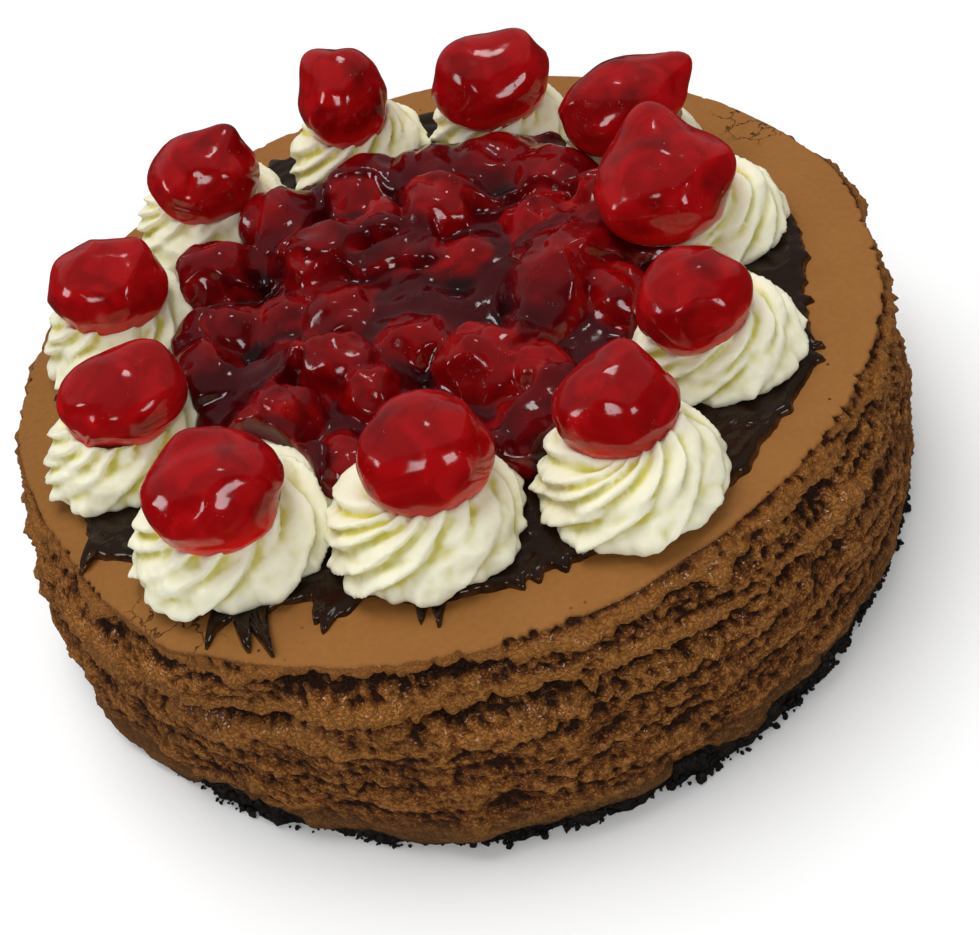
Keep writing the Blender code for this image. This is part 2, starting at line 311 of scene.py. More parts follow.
def settle(piece: Piece, finish: Material, slot: Slot, *nodes: str) -> None:
    """Gives a piece its finish and its place in the frame.

    Args:
        piece: The piece.
        finish: Its material.
        slot: The record's slot that the finish stands for; not used.
        *nodes: The CAD nodes that the piece replaces.
    """
    piece.data.materials.append(finish)
    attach(piece, "root")
    if nodes:
        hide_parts(*nodes)
    LOG.info("%s: %d faces", piece.name, len(piece.data.polygons))


def skin_of(field_values: np.ndarray, corner: np.ndarray, pitch: float) -> tuple[np.ndarray, list]:
    """The surface where a field of distances is zero, without bubbles of one grid point.

    Args:
        field_values: Distances on a grid, below zero inside.
        corner: Where the grid's first point lies.
        pitch: The grid's spacing.

    Returns:
        The surface's points and its quads.
    """
    steps = [(step, axis) for axis in range(3) for step in (-1, 1)]
    nearest = np.maximum.reduce([np.roll(field_values, step, axis) for step, axis in steps])
    bubble = (field_values > 0.0) & (nearest < 0.0)
    whole = np.where(bubble, nearest, field_values)
    grid = openvdb.FloatGrid(background=float(field_values.max()))
    grid.copyFromArray(np.ascontiguousarray(whole, np.float32))
    points, quads = grid.convertToQuads(0.0)
    return points * pitch + corner, quads.tolist()


def drop_bubbles(mesh: Mesh, least: int) -> None:
    """Deletes the small closed bubbles that a voxel remesh can leave inside a solid.

    Args:
        mesh: The mesh.
        least: How many points a loose bit needs to be kept.
    """
    shape = bmesh.new()
    shape.from_mesh(mesh)
    waiting = set(shape.verts)
    while waiting:
        island = {waiting.pop()}
        edge = set(island)
        while edge:
            edge = {link.other_vert(vert) for vert in edge for link in vert.link_edges} - island
            island |= edge
        waiting -= island
        if len(island) < least:
            bmesh.ops.delete(shape, geom=list(island), context="VERTS")
    shape.to_mesh(mesh)
    shape.free()


def between(values: np.ndarray, spot: np.ndarray) -> np.ndarray:
    """Reads a grid between its points.

    Args:
        values: The grid, three-dimensional.
        spot: Where to read it, in grid steps.

    Returns:
        One value for each spot.
    """
    most = np.array(values.shape) - 1
    low = np.clip(np.floor(spot).astype(int), 0, np.maximum(most - 1, 0))
    part = np.clip(spot - low, 0.0, 1.0)
    total = np.zeros(len(spot))
    for step in CORNERS:
        share = np.prod(np.where(step > 0, part, 1.0 - part), axis=1)
        at = np.minimum(low + step, most)
        total += share * values[at[:, 0], at[:, 1], at[:, 2]]
    return total


def smooth_least(first: np.ndarray, second: np.ndarray, blend: float) -> np.ndarray:
    """The lesser of two distances, with a fillet where they meet.

    Args:
        first: One field.
        second: The other.
        blend: How wide the fillet reaches.

    Returns:
        The joined field.
    """
    share = np.clip(blend - np.abs(first - second), 0.0, None) / blend
    return np.minimum(first, second) - share * share * blend * 0.25


def hollows(piece: Piece, passes: int, depth: float) -> np.ndarray:
    """How far each vertex lies in a groove.

    Args:
        piece: A mesh object.
        passes: How many times the surface is evened out to find its general run.
        depth: The groove depth that counts as 1.

    Returns:
        0 on the ridges to 1 in the grooves, about 0.5 on flat ground.
    """
    mesh = piece.data
    count = len(mesh.vertices)
    start = vectors_of(mesh, "co")
    normals = vectors_of(mesh, "normal")
    edges = np.empty(len(mesh.edges) * 2, np.int32)
    mesh.edges.foreach_get("vertices", edges)
    edges = edges.reshape(-1, 2)
    ends = np.concatenate([edges[:, 0], edges[:, 1]])
    others = np.concatenate([edges[:, 1], edges[:, 0]])
    amount = np.maximum(np.bincount(ends, minlength=count), 1)
    even = start
    for _ in range(passes):
        sums = [np.bincount(ends, even[others, axis], count) for axis in range(3)]
        even = 0.3 * even + 0.7 * np.stack(sums, axis=1) / amount[:, None]
    below = np.einsum("ij,ij->i", even - start, normals)
    return np.clip(0.5 + 0.5 * below / depth, 0.0, 1.0)


class Wiring:
    """Adds shader nodes to one tree and joins them."""

    def __init__(self, tree: NodeTree) -> None:
        """Keeps the tree that nodes go into."""
        self.tree = tree

    def node(self, kind: str, **settings: object) -> Node:
        """Adds a node.

        Args:
            kind: Blender's name for it.
            **settings: Its properties.

        Returns:
            The node.
        """
        made = self.tree.nodes.new(kind)
        for name, value in settings.items():
            setattr(made, name, value)
        return made

    def feed(self, socket: Socket, source: object) -> None:
        """Joins a socket to another, or sets it to a value.

        Args:
            socket: An input.
            source: An output socket, a number, a vector or a colour.
        """
        if isinstance(source, Socket):
            self.tree.links.new(source, socket)
        elif isinstance(source, tuple) and socket.type == "RGBA":
            socket.default_value = (*source, 1.0)
        else:
            socket.default_value = source

    def feed_all(self, node: Node, sources: dict[str, object]) -> None:
        """Joins or sets several of a node's inputs, by their names."""
        for name, source in sources.items():
            self.feed(node.inputs[name], source)

    def place(self, stretch: Place = (1.0, 1.0, 1.0)) -> Socket:
        """Where a point of the piece lies.

        Args:
            stretch: Factors along x, y and z.

        Returns:
            A vector socket.
        """
        where = self.node("ShaderNodeTexCoord").outputs["Object"]
        return self.vectors("MULTIPLY", where, stretch).outputs[0]

    def mark(self, name: str) -> Socket:
        """The value that a mesh holds under a name."""
        return self.node("ShaderNodeAttribute", attribute_name=name).outputs["Fac"]

    def noise(self, where: object, scale: object, **more: object) -> Node:
        """Adds a noise texture.

        Args:
            where: A vector socket.
            scale: Waves to the metre.
            **more: Its other inputs by name.

        Returns:
            The node.
        """
        made = self.node("ShaderNodeTexNoise")
        self.feed_all(made, {"Vector": where, "Scale": scale, **more})
        return made

    def cloud(self, where: object, length: float, detail: float = 2.0) -> Socket:
        """Soft noise.

        Args:
            where: A vector socket.
            length: The wave's length in metres.
            detail: How many finer waves are added.

        Returns:
            A value socket, about 0.3 to 0.7.
        """
        return self.noise(where, 1.0 / length, Detail=detail).outputs["Fac"]

    def cells(self, where: object, scale: object, edges: bool = False) -> Socket:
        """Distance from the middle or the border of irregular cells.

        Args:
            where: A vector socket.
            scale: Cells to the metre.
            edges: Whether the distance is from the border.

        Returns:
            A value socket, in cell sizes.
        """
        feature = "DISTANCE_TO_EDGE" if edges else "F1"
        made = self.node("ShaderNodeTexVoronoi", feature=feature)
        self.feed_all(made, {"Vector": where, "Scale": scale})
        return made.outputs["Distance"]

    def maths(self, operation: str, *values: object, clamp: bool = False) -> Socket:
        """Arithmetic on values.

        Args:
            operation: Blender's name for it.
            *values: One to three sockets or numbers.
            clamp: Whether the result is kept between 0 and 1.

        Returns:
            A value socket.
        """
        made = self.node("ShaderNodeMath", operation=operation, use_clamp=clamp)
        for socket, value in zip(made.inputs, values):
            self.feed(socket, value)
        return made.outputs[0]

    def times(self, first: object, *others: object) -> Socket:
        """The product of two or more values."""
        for other in others:
            first = self.maths("MULTIPLY", first, other)
        return first

    def vectors(self, operation: str, *sources: object) -> Node:
        """Arithmetic on vectors.

        Args:
            operation: Blender's name for it.
            *sources: One to three vectors or sockets.

        Returns:
            The node, whose result may be a vector or a value.
        """
        made = self.node("ShaderNodeVectorMath", operation=operation)
        for socket, source in zip(made.inputs, sources):
            self.feed(socket, source)
        return made

    def step(self, value: object, low: float, high: float, to: tuple = (0.0, 1.0)) -> Socket:
        """A smooth step between two values.

        Args:
            value: A value socket.
            low: Where it starts.
            high: Where it ends.
            to: What it goes from and to.

        Returns:
            A value socket.
        """
        made = self.node("ShaderNodeMapRange", interpolation_type="SMOOTHSTEP")
        for socket, source in zip(made.inputs, (value, low, high, *to)):
            self.feed(socket, source)
        return made.outputs["Result"]

    def blend(self, share: object, first: object, second: object) -> Socket:
        """Mixes two colours.

        Args:
            share: How much of the second, from 0 to 1.
            first: A colour or a socket.
            second: A colour or a socket.

        Returns:
            A colour socket.
        """
        made = self.node("ShaderNodeMix", data_type="RGBA")
        self.feed(made.inputs[0], share)
        self.feed(made.inputs[6], first)
        self.feed(made.inputs[7], second)
        return made.outputs[2]

    def layered(self, base: object, *layers: tuple[object, float, object]) -> Socket:
        """Lays colours over a base, one after another.

        Args:
            base: A colour or a socket.
            *layers: For each layer, where it lies, how much it covers there, and its colour.

        Returns:
            A colour socket.
        """
        for where, most, colour in layers:
            share = where if most == 1.0 else self.times(where, most)
            base = self.blend(share, base, colour)
        return base

    def relief(self, height: object, depth: float) -> Socket:
        """A normal from a height.

        Args:
            height: A value socket from 0 to 1.
            depth: What 1 is in metres.

        Returns:
            A vector socket.
        """
        made = self.node("ShaderNodeBump")
        self.feed_all(made, {"Distance": depth, "Height": height})
        return made.outputs["Normal"]


def new_group(name: str, inputs: tuple[str, ...], outputs: tuple[str, ...]) -> tuple:
    """Starts a shader node group of plain values.

    Args:
        name: The group's name.
        inputs: Names of its value inputs.
        outputs: Names of its value outputs.

    Returns:
        The group, its wiring, its input node and its output node.
    """
    group = bpy.data.node_groups.new(name, "ShaderNodeTree")
    for socket in inputs:
        group.interface.new_socket(socket, in_out="INPUT", socket_type="NodeSocketFloat")
    for socket in outputs:
        group.interface.new_socket(socket, in_out="OUTPUT", socket_type="NodeSocketFloat")
    wiring = Wiring(group)
    return group, wiring, wiring.node("NodeGroupInput"), wiring.node("NodeGroupOutput")


def crumb_group() -> NodeTree:
    """Torn crumb, for the cake's side and its crust.

    Returns:
        A group that takes a Grain in metres and gives a Height, Specks and Gaps, each 0 to 1.
    """
    if "crumb" in bpy.data.node_groups:
        return bpy.data.node_groups["crumb"]
    group, wiring, given, out = new_group("crumb", ("Grain",), ("Height", "Specks", "Gaps"))
    plain = wiring.place((1.0, 1.0, 1.3))
    scale = wiring.maths("DIVIDE", 1.0, given.outputs["Grain"])
    bent = wiring.noise(plain, wiring.times(scale, 0.8)).outputs["Color"]
    bend = (1.0 * MM, 1.0 * MM, 1.0 * MM)
    where = wiring.vectors("MULTIPLY_ADD", bent, bend, plain).outputs[0]
    coarse = wiring.noise(where, wiring.times(scale, 0.45), Detail=3.0).outputs["Fac"]
    fine = wiring.noise(where, wiring.times(scale, 1.6), Detail=2.0).outputs["Fac"]
    beads = wiring.maths("SUBTRACT", 1.0, wiring.cells(where, scale), clamp=True)
    border = wiring.cells(where, wiring.times(scale, 0.62), edges=True)
    gaps = wiring.times(wiring.step(border, 0.17, 0.02), wiring.step(fine, 0.60, 0.44))
    height = wiring.maths("ADD", wiring.times(coarse, 0.35), wiring.times(beads, 0.65))
    grainy = wiring.maths("ADD", fine, wiring.times(beads, 0.12))
    results = {
        "Height": wiring.maths("SUBTRACT", height, wiring.times(gaps, 0.35)),
        "Specks": wiring.step(grainy, 0.60, 0.72),
        "Gaps": gaps,
    }
    wiring.feed_all(out, results)
    return group


def gel_group() -> NodeTree:
    """Slow swirls and small bubbles in gel, for the filling and the cherries.

    Returns:
        A group that takes a Length in metres and gives Swirl, Bubbles and Ripple, 0 to 1.
    """
    if "gel" in bpy.data.node_groups:
        return bpy.data.node_groups["gel"]
    group, wiring, given, out = new_group("gel", ("Length",), ("Swirl", "Bubbles", "Ripple"))
    where = wiring.place()
    scale = wiring.maths("DIVIDE", 1.0, given.outputs["Length"])
    swirl = wiring.noise(where, scale, Detail=2.0, Distortion=1.2)
    ripple = wiring.noise(where, wiring.times(scale, 2.6), Detail=1.0)
    rare = wiring.step(wiring.cloud(where, 4.0 * MM, 0.0), 0.60, 0.70)
    small = wiring.step(wiring.cells(where, 1.0 / (1.1 * MM)), 0.30, 0.12)
    results = {
        "Swirl": wiring.step(swirl.outputs["Fac"], 0.36, 0.64),
        "Bubbles": wiring.times(rare, small),
        "Ripple": ripple.outputs["Fac"],
    }
    wiring.feed_all(out, results)
    return group


def placed_group(wiring: Wiring, group: NodeTree, **values: float) -> Node:
    """Puts a group into a material.

    Args:
        wiring: The material's wiring.
        group: The group.
        **values: Its inputs by name.

    Returns:
        The group's node.
    """
    made = wiring.node("ShaderNodeGroup", node_tree=group)
    wiring.feed_all(made, values)
    return made


def new_finish(name: str) -> tuple[Material, Wiring, Node]:
    """Starts a material.

    Args:
        name: Its name.

    Returns:
        The material, its wiring and its Principled shader.
    """
    material = bpy.data.materials.new(name)
    material.use_nodes = True
    wiring = Wiring(material.node_tree)
    return material, wiring, material.node_tree.nodes["Principled BSDF"]


@dataclass(frozen=True)
class CakeFinish:
    """Baked chocolate cheesecake: smooth and milky brown on top, torn crumb on the side."""

    top: Colour = (0.276, 0.118, 0.031)
    top_dark: Colour = (0.240, 0.096, 0.022)
    # Painted shade that darkens the top towards the left
    top_left_shade: Colour = (0.215, 0.092, 0.022)
    crumb: Colour = (0.168, 0.048, 0.0045)
    # Painted light on the side's crests and specks, and the pale flecks of the top
    lit_and_pale_crumb: Colour = (0.430, 0.170, 0.032)
    # The painted shade of hollows, gaps, low crumbs, pits and cracks
    deep: Colour = (0.020, 0.0045, 0.0006)
    lip: Colour = (0.262, 0.098, 0.018)
    band: Colour = (0.128, 0.053, 0.014)
    grain: float = 0.85 * MM
    relief: float = 0.60 * MM
    # Middle and reach of each place on the top where the skin is cracked
    cracked: tuple[tuple[Place, float], ...] = (
        ((-0.070, -0.074, 0.056), 0.017),
        ((0.096, 0.040, 0.056), 0.015),
        ((-0.052, 0.088, 0.056), 0.016),
    )

    def material(self) -> Material:
        """Builds the shader.

        Returns:
            The material.
        """
        material, wiring, shader = new_finish("chocolate cheesecake")
        where = wiring.place()
        side = wiring.mark("side")
        cavity = wiring.mark("cavity")
        # Painted shade in the side's hollows, from how deep a place lies
        shade = wiring.step(cavity, 0.50, 0.84)
        crumb = placed_group(wiring, crumb_group(), Grain=self.grain)
        pits = wiring.step(wiring.cells(where, 1.0 / (5.0 * MM)), 0.085, 0.05)
        pits = wiring.times(pits, wiring.step(wiring.cloud(where, 21.0 * MM, 1.0), 0.50, 0.60))
        # Pits and cracks dent the relief and take painted shade in the colour
        flaws = wiring.maths("MAXIMUM", pits, self.cracks(wiring, where))
        top = self.top_colour(wiring, where, flaws)
        torn = self.torn_colour(wiring, crumb, cavity, shade)
        dull = wiring.step(crumb.outputs["Height"], 0.55, 0.75, (0.62, 0.34))
        smooth = wiring.step(wiring.cloud(where, 5.0 * MM), 0.3, 0.7, (0.42, 0.56))
        wide = wiring.times(side, wiring.maths("SUBTRACT", dull, smooth))
        dents = wiring.times(crumb.outputs["Height"], wiring.maths("MULTIPLY_ADD", side, 0.98, 0.02))
        height = wiring.maths("SUBTRACT", dents, wiring.times(flaws, 0.2))
        open_side = wiring.times(wiring.maths("SUBTRACT", 1.0, shade), side)
        looks = {
            "Base Color": wiring.blend(side, top, torn),
            "Roughness": wiring.maths("ADD", smooth, wide),
            "Normal": wiring.relief(height, self.relief),
            "Coat Weight": wiring.times(crumb.outputs["Specks"], open_side, 0.6),
            "Coat Roughness": 0.18,
            "Specular IOR Level": 0.12,
        }
        wiring.feed_all(shader, looks)
        return material

    def top_colour(self, wiring: Wiring, where: Socket, flaws: Socket) -> Socket:
        """The smooth top: mottled, darkened towards the left by painted shade, and in painted shade in its
        flaws.

        Args:
            wiring: The material's wiring.
            where: Where a point lies.
            flaws: How much of a pit or a crack it is.

        Returns:
            A colour socket.
        """
        mottle = wiring.step(wiring.cloud(where, 16.0 * MM, 4.0), 0.36, 0.66)
        fine = wiring.step(wiring.cloud(where, 1.6 * MM, 3.0), 0.3, 0.7)
        across = wiring.node("ShaderNodeSeparateXYZ")
        wiring.feed(across.inputs[0], where)
        # Painted shade: the top darkens towards the left
        baked = wiring.step(across.outputs["X"], -0.045, -0.110, (0.0, 0.75))
        return wiring.layered(
            self.top,
            (mottle, 0.45, self.top_dark),
            (baked, 1.0, self.top_left_shade),
            (fine, 0.16, self.lit_and_pale_crumb),
            # Painted shade in the pits and cracks
            (flaws, 0.8, self.deep),
        )

    def torn_colour(
        self, wiring: Wiring, crumb: Node, cavity: Socket, shade: Socket
    ) -> Socket:
        """The torn side: crests and specks in painted light, gaps and hollows in painted shade, lip and
        foot.

        Args:
            wiring: The material's wiring.
            crumb: The torn crumb's node.
            cavity: How deep a point lies, from 0 on crests to 1 in hollows.
            shade: How much painted shade that gives it.

        Returns:
            A colour socket.
        """
        # Painted light: the crests are paler, as if lit
        lit = wiring.step(cavity, 0.50, 0.12)
        # Painted shade on the low crumbs and in the gaps between them
        low = wiring.step(crumb.outputs["Height"], 0.50, 0.34)
        lip = wiring.mark("lip")
        torn_only = wiring.maths("MULTIPLY_ADD", lip, -0.7, 1.0)
        gaps = wiring.times(crumb.outputs["Gaps"], 0.40, torn_only)
        dim = wiring.maths("MAXIMUM", gaps, wiring.times(low, 0.36))
        return wiring.layered(
            self.crumb,
            # Painted light on the crests, and painted glints on the specks
            (lit, 0.75, self.lit_and_pale_crumb),
            (crumb.outputs["Specks"], 0.65, self.lit_and_pale_crumb),
            # Painted shade in the gaps, on the low crumbs and in the hollows
            (dim, 1.0, self.deep),
            (shade, 0.92, self.deep),
            (wiring.mark("band"), 0.75, self.band),
            (lip, 0.6, self.lip),
        )

    def cracks(self, wiring: Wiring, where: Socket) -> Socket:
        """Hairline cracks near the rim, here and there.

        Args:
            wiring: The material's wiring.
            where: Where a point lies.

        Returns:
            A value socket, 1 in a crack.
        """
        bent = wiring.noise(where, 260.0, Detail=4.0).outputs["Color"]
        bend = (0.008, 0.008, 0.008)
        moved = wiring.vectors("MULTIPLY_ADD", bent, bend, where).outputs[0]
        line = wiring.step(wiring.cells(moved, 1.0 / (9.0 * MM), edges=True), 0.026, 0.008)
        zones = []
        for spot, reach in self.cracked:
            away = wiring.vectors("DISTANCE", where, spot).outputs["Value"]
            zones.append(wiring.step(away, reach, 0.5 * reach))
        zone = wiring.maths("MAXIMUM", zones[0], wiring.maths("MAXIMUM", zones[1], zones[2]))
        return wiring.times(line, zone, wiring.mark("rim"))


@dataclass(frozen=True)
class CrustFinish:
    """Near-black cookie crumbs, pressed and oily."""

    dark: Colour = (0.0052, 0.0036, 0.0026)
    dusty: Colour = (0.026, 0.014, 0.008)
    grain: float = 0.9 * MM
    relief: float = 0.4 * MM

    def material(self) -> Material:
        """Builds the shader.

        Returns:
            The material.
        """
        material, wiring, shader = new_finish("dark cookie crust")
        crumb = placed_group(wiring, crumb_group(), Grain=self.grain)
        patches = wiring.step(wiring.cloud(wiring.place(), 3.0 * MM, 3.0), 0.42, 0.66)
        specks = crumb.outputs["Specks"]
        looks = {
            "Base Color": wiring.layered(
                self.dark, (patches, 0.6, self.dusty), (specks, 0.4, self.dusty)
            ),
            "Roughness": wiring.step(crumb.outputs["Height"], 0.3, 0.7, (0.8, 0.45)),
            "Normal": wiring.relief(crumb.outputs["Height"], self.relief),
            "Specular IOR Level": 0.22,
        }
        wiring.feed_all(shader, looks)
        return material


@dataclass(frozen=True)
class FudgeFinish:
    """Dark fudge: near black, glossy, and brown where it is thin."""

    dark: Colour = (0.0150, 0.0068, 0.0034)
    thin: Colour = (0.120, 0.042, 0.013)
    relief: float = 0.11 * MM

    def material(self) -> Material:
        """Builds the shader.

        Returns:
            The material.
        """
        material, wiring, shader = new_finish("dark fudge")
        where = wiring.place()
        patchy = wiring.step(wiring.cloud(where, 4.0 * MM), 0.3, 0.7)
        edge = wiring.times(wiring.mark("thin"), patchy)
        looks = {
            "Base Color": wiring.blend(edge, self.dark, self.thin),
            "Roughness": wiring.step(wiring.cloud(where, 3.0 * MM, 3.0), 0.35, 0.7, (0.06, 0.20)),
            "Normal": wiring.relief(wiring.cloud(where, 1.8 * MM, 2.0), self.relief),
            "Specular IOR Level": 0.17,
            "Coat Weight": 0.10,
            "Coat Roughness": 0.05,
        }
        wiring.feed_all(shader, looks)
        return material


@dataclass(frozen=True)
class GelFinish:
    """Cherries in clear red gel: red fruit, darker where the gel is deep."""

    name: str
    fruit: Colour = (0.42, 0.0035, 0.0050)
    fruit_deep: Colour = (0.30, 0.0016, 0.0024)
    gel_deep: Colour = (0.014, 0.0006, 0.0014)
    gel_thin: Colour = (0.78, 0.014, 0.010)
    # The painted shade, near black, in the heap's pits and deep dips
    pit: Colour = (0.006, 0.0004, 0.0006)
    glow: float = 3.2 * MM
    relief: float = 0.10 * MM

    def material(self) -> Material:
        """Builds the shader.

        Returns:
            The material.
        """
        material, wiring, shader = new_finish(self.name)
        gel = placed_group(wiring, gel_group(), Length=9.0 * MM)
        colour = wiring.layered(
            self.fruit_deep,
            (gel.outputs["Swirl"], 1.0, self.fruit),
            (wiring.mark("cover"), 1.0, self.gel_deep),
            (wiring.mark("thin"), 1.0, self.gel_thin),
            # Painted shade in the pits
            (wiring.mark("pit"), 1.0, self.pit),
        )
        height = wiring.maths("ADD", gel.outputs["Ripple"], gel.outputs["Bubbles"])
        looks = {
            "Base Color": colour,
            "Roughness": wiring.step(gel.outputs["Ripple"], 0.3, 0.7, (0.06, 0.15)),
            "Normal": wiring.relief(height, self.relief),
            "IOR": 1.38,
            "Subsurface Weight": 0.75,
            "Subsurface Radius": (1.0, 0.06, 0.05),
            "Subsurface Scale": self.glow,
            "Coat Weight": 0.08,
            "Coat Roughness": 0.02,
        }
        wiring.feed_all(shader, looks)
        return material


@dataclass(frozen=True)
class CreamFinish:
    """Piped whipped cream: ivory ridges, and a painted yellowish shade in the grooves."""

    ridge: Colour = (0.895, 0.868, 0.660)
    # The painted yellowish shade in the grooves
    groove: Colour = (0.62, 0.550, 0.060)
    relief: float = 0.12 * MM

    def material(self) -> Material:
        """Builds the shader.

        Returns:
            The material.
        """
        material, wiring, shader = new_finish("whipped cream")
        where = wiring.place()
        # Painted shade: yellower and darker the deeper a point lies in a groove
        groove = wiring.step(wiring.mark("groove"), 0.40, 0.76)
        patch = wiring.step(wiring.cloud(where, 9.0 * MM, 2.0), 0.35, 0.60, (0.50, 1.0))
        looks = {
            "Base Color": wiring.blend(wiring.times(groove, patch), self.ridge, self.groove),
            "Roughness": wiring.step(wiring.cloud(where, 2.0 * MM), 0.3, 0.7, (0.36, 0.52)),
            "Normal": wiring.relief(wiring.cloud(where, 1.2 * MM, 3.0), self.relief),
            "Subsurface Weight": 0.25,
            "Subsurface Radius": (1.0, 0.9, 0.6),
            "Subsurface Scale": 1.2 * MM,
        }
        wiring.feed_all(shader, looks)
        return material


@dataclass(frozen=True)
class FloorFinish:
    """A plain pale studio floor."""

    colour: Colour = (0.92, 0.92, 0.92)

    def material(self) -> Material:
        """Builds the shader.

        Returns:
            The material.
        """
        material, wiring, shader = new_finish("pale floor")
        looks = {
            "Base Color": self.colour,
            "Roughness": 0.9,
            "Specular IOR Level": 0.0,
            "Emission Color": (1.0, 1.0, 1.0),
            "Emission Strength": 0.06,
        }
        wiring.feed_all(shader, looks)
        return material


@dataclass(frozen=True)
class Ledge:
    """One torn ledge round the side: the cake steps in below its edge, then comes out again."""

    height: float
    depth: float
    recovery: float
    wander: float
    everywhere: bool = False


@dataclass
class Cheesecake:
    """The baked cake: a smooth top, a thin torn lip, and a craggy side."""

    columns: int = 1000
    side_rows: int = 79
    base_radius: float = 112.6 * MM
    top_radius: float = 106.5 * MM
    lip_round: float = 1.5 * MM
    bulge: float = 1.6 * MM
    lip_drop: float = 3.2 * MM
    draw_depth: float = 5.5 * MM
    crag_depth: float = 3.0 * MM
    crevice_height: float = 41.0 * MM
    crevice_depth: float = 3.2 * MM
    roll_out: float = 1.0 * MM
    # Where the rounded rim ends and the side starts
    top_row: float = CAKE_HEIGHT - 1.0 * MM
    # Columns and rows to each side over which near and broad hollows are measured
    near_blur: tuple[int, int] = (3, 3)
    broad_blur: tuple[int, int] = (11, 8)
    # Which ledge has the deep slot under the rim, and which one follows the solid's crevice
    rim_ledge: int = 0
    crevice_ledge: int = 1
    # The deep slot: its azimuth, and how far off it ends and starts, in degrees
    slot_azimuth: float = -107.0
    slot_reach: tuple[float, float] = (18.0, 10.0)
    slot_rise: float = 2.2 * MM
    slot_strength: float = 2.05
    # Each ring of the rounded rim: its turn in degrees, and how much of the side's look it has
    rim_turns: tuple[float, ...] = (18.0, 38.0, 58.0, 76.0)
    rim_looks: tuple[float, ...] = (0.05, 0.15, 0.4, 0.75)
    top_shares: tuple[float, ...] = (
        0.20, 0.45, 0.65, 0.76, 0.81, 0.845, 0.87, 0.89, 0.91, 0.93, 0.945, 0.96, 0.974, 0.987, 1.0,
    )
    ledges: tuple[Ledge, ...] = (
        Ledge(51.4 * MM, 3.5 * MM, 3.8 * MM, 1.6 * MM, True),
        Ledge(42.6 * MM, 5.6 * MM, 5.2 * MM, 3.8 * MM, True),
        Ledge(33.0 * MM, 1.1 * MM, 2.6 * MM, 3.4 * MM),
        Ledge(24.0 * MM, 0.9 * MM, 2.2 * MM, 3.4 * MM),
    )
    angles: np.ndarray = field(init=False)

    def __post_init__(self) -> None:
        """Sets the azimuths of the columns."""
        self.angles = circle_steps(self.columns)

    def side_radius(self, height: np.ndarray) -> np.ndarray:
        """The outer radius before the crags.

        Args:
            height: Heights, with one column for each azimuth.

        Returns:
            The radius at each.
        """
        share = (height - CAKE_BOTTOM) / (CAKE_HEIGHT - CAKE_BOTTOM)
        taper = self.base_radius + (self.top_radius + self.lip_round - self.base_radius) * share
        taper = taper + uneven_plan(self.angles, 1) * (1.0 - share) + uneven_plan(self.angles, 2) * share
        drawn = uneven_plan(self.angles, 3) * np.exp((height - CAKE_HEIGHT) / self.draw_depth)
        return taper - drawn + self.bulge * np.sin(math.pi * np.clip(share, 0.0, 1.0))

    def wander(self, x: float, y: float) -> float:
        """How far the crevice under the rim lies above or below its usual height."""
        return 3.4 * MM * rough((x, y, 0.0), 17.0, 2, 3.0)

    def crag(self, x: float, y: float, height: float) -> float:
        """How far the solid's torn side stands out or in.

        Args:
            x: Across.
            y: Back.
            height: Up.

        Returns:
            The distance along the radius.
        """
        wander = self.wander(x, y)
        torn = 0.55 + 0.9 * rough((x, y, 0.0), 21.0, 1, 13.0)
        away = (height + wander - self.crevice_height) / (3.0 * MM)
        crevice = self.crevice_depth * min(1.0, max(0.0, torn)) * math.exp(-away * away)
        flats = rough((0.3 * x, 0.3 * y, height + 0.4 * wander), 110.0, 2, 7.0)
        lumps = rough((x, y, height), 58.0, 2, 11.0)
        return self.crag_depth * (0.62 * flats + 0.5 * lumps) - crevice

    def slot(self, points: np.ndarray) -> np.ndarray:
        """How much points belong to the deep slot under the rim, from 0 to 1."""
        azimuth = np.degrees(np.arctan2(points[:, 1], points[:, 0]))
        return smoothstep(*self.slot_reach, np.abs(azimuth - self.slot_azimuth))

    def torn_ledges(self, points: np.ndarray) -> tuple[np.ndarray, np.ndarray]:
        """The steps under the torn edges.

        Args:
            points: Places on the side, before any tearing.

        Returns:
            The distance along the radius at each, and how far it hangs down.
        """
        flat = points * LEVEL
        wander = np.array([self.wander(x, y) for x, y, _ in flat[: self.columns]])
        wander = np.tile(wander, len(points) // self.columns)
        total = np.zeros(len(points))
        hang = np.zeros(len(points))
        for number, ledge in enumerate(self.ledges):
            edge = ledge.height + 1.2 * MM * waves(flat, 11.0 * MM, 2, 40 + number)
            edge += 0.8 * MM * waves(flat, 3.0 * MM, 2, 60 + number)
            tags = 3.4 * MM * np.clip(waves(flat, 5.5 * MM, 1, 65 + number) - 0.1, 0.0, None) ** 1.3
            if number == self.crevice_ledge:
                edge -= wander
            else:
                edge += ledge.wander * waves(flat, 55.0 * MM, 2, 50 + number)
            strength = 0.86 + 1.05 * waves(flat, 24.0 * MM, 2, 70 + number)
            slot = np.zeros(len(points))
            if number == self.rim_ledge:
                slot = self.slot(points)
                edge += slot * (self.slot_rise - 1.2 * MM * waves(flat, 55.0 * MM, 2, 50))
                strength = strength * (1.0 - slot) + self.slot_strength * slot
            edge -= tags * (1.0 - 0.75 * slot)
            if not ledge.everywhere:
                strength *= smoothstep(-0.25, 0.2, waves(flat, 48.0 * MM, 1, 80 + number))
            below = edge - points[:, 2]
            recovery = ledge.recovery * (1.0 + 0.5 * slot)
            step = smoothstep(-0.1 * MM, 0.7 * MM, below) * np.exp(-np.clip(below, 0.0, None) / recovery)
            swell = 0.3 * (1.0 - 0.7 * slot) * np.exp(-(((below + 1.1 * MM) / (1.2 * MM)) ** 2))
            total += ledge.depth * np.clip(strength, 0.0, None) * (swell - step)
            near = smoothstep(-2.6 * MM, -0.3 * MM, below) * smoothstep(0.45 * MM, -0.1 * MM, below)
            hang += 0.38 * ledge.depth * np.clip(strength, 0.0, 1.2) * near * (1.0 - 0.8 * slot)
        return total, hang

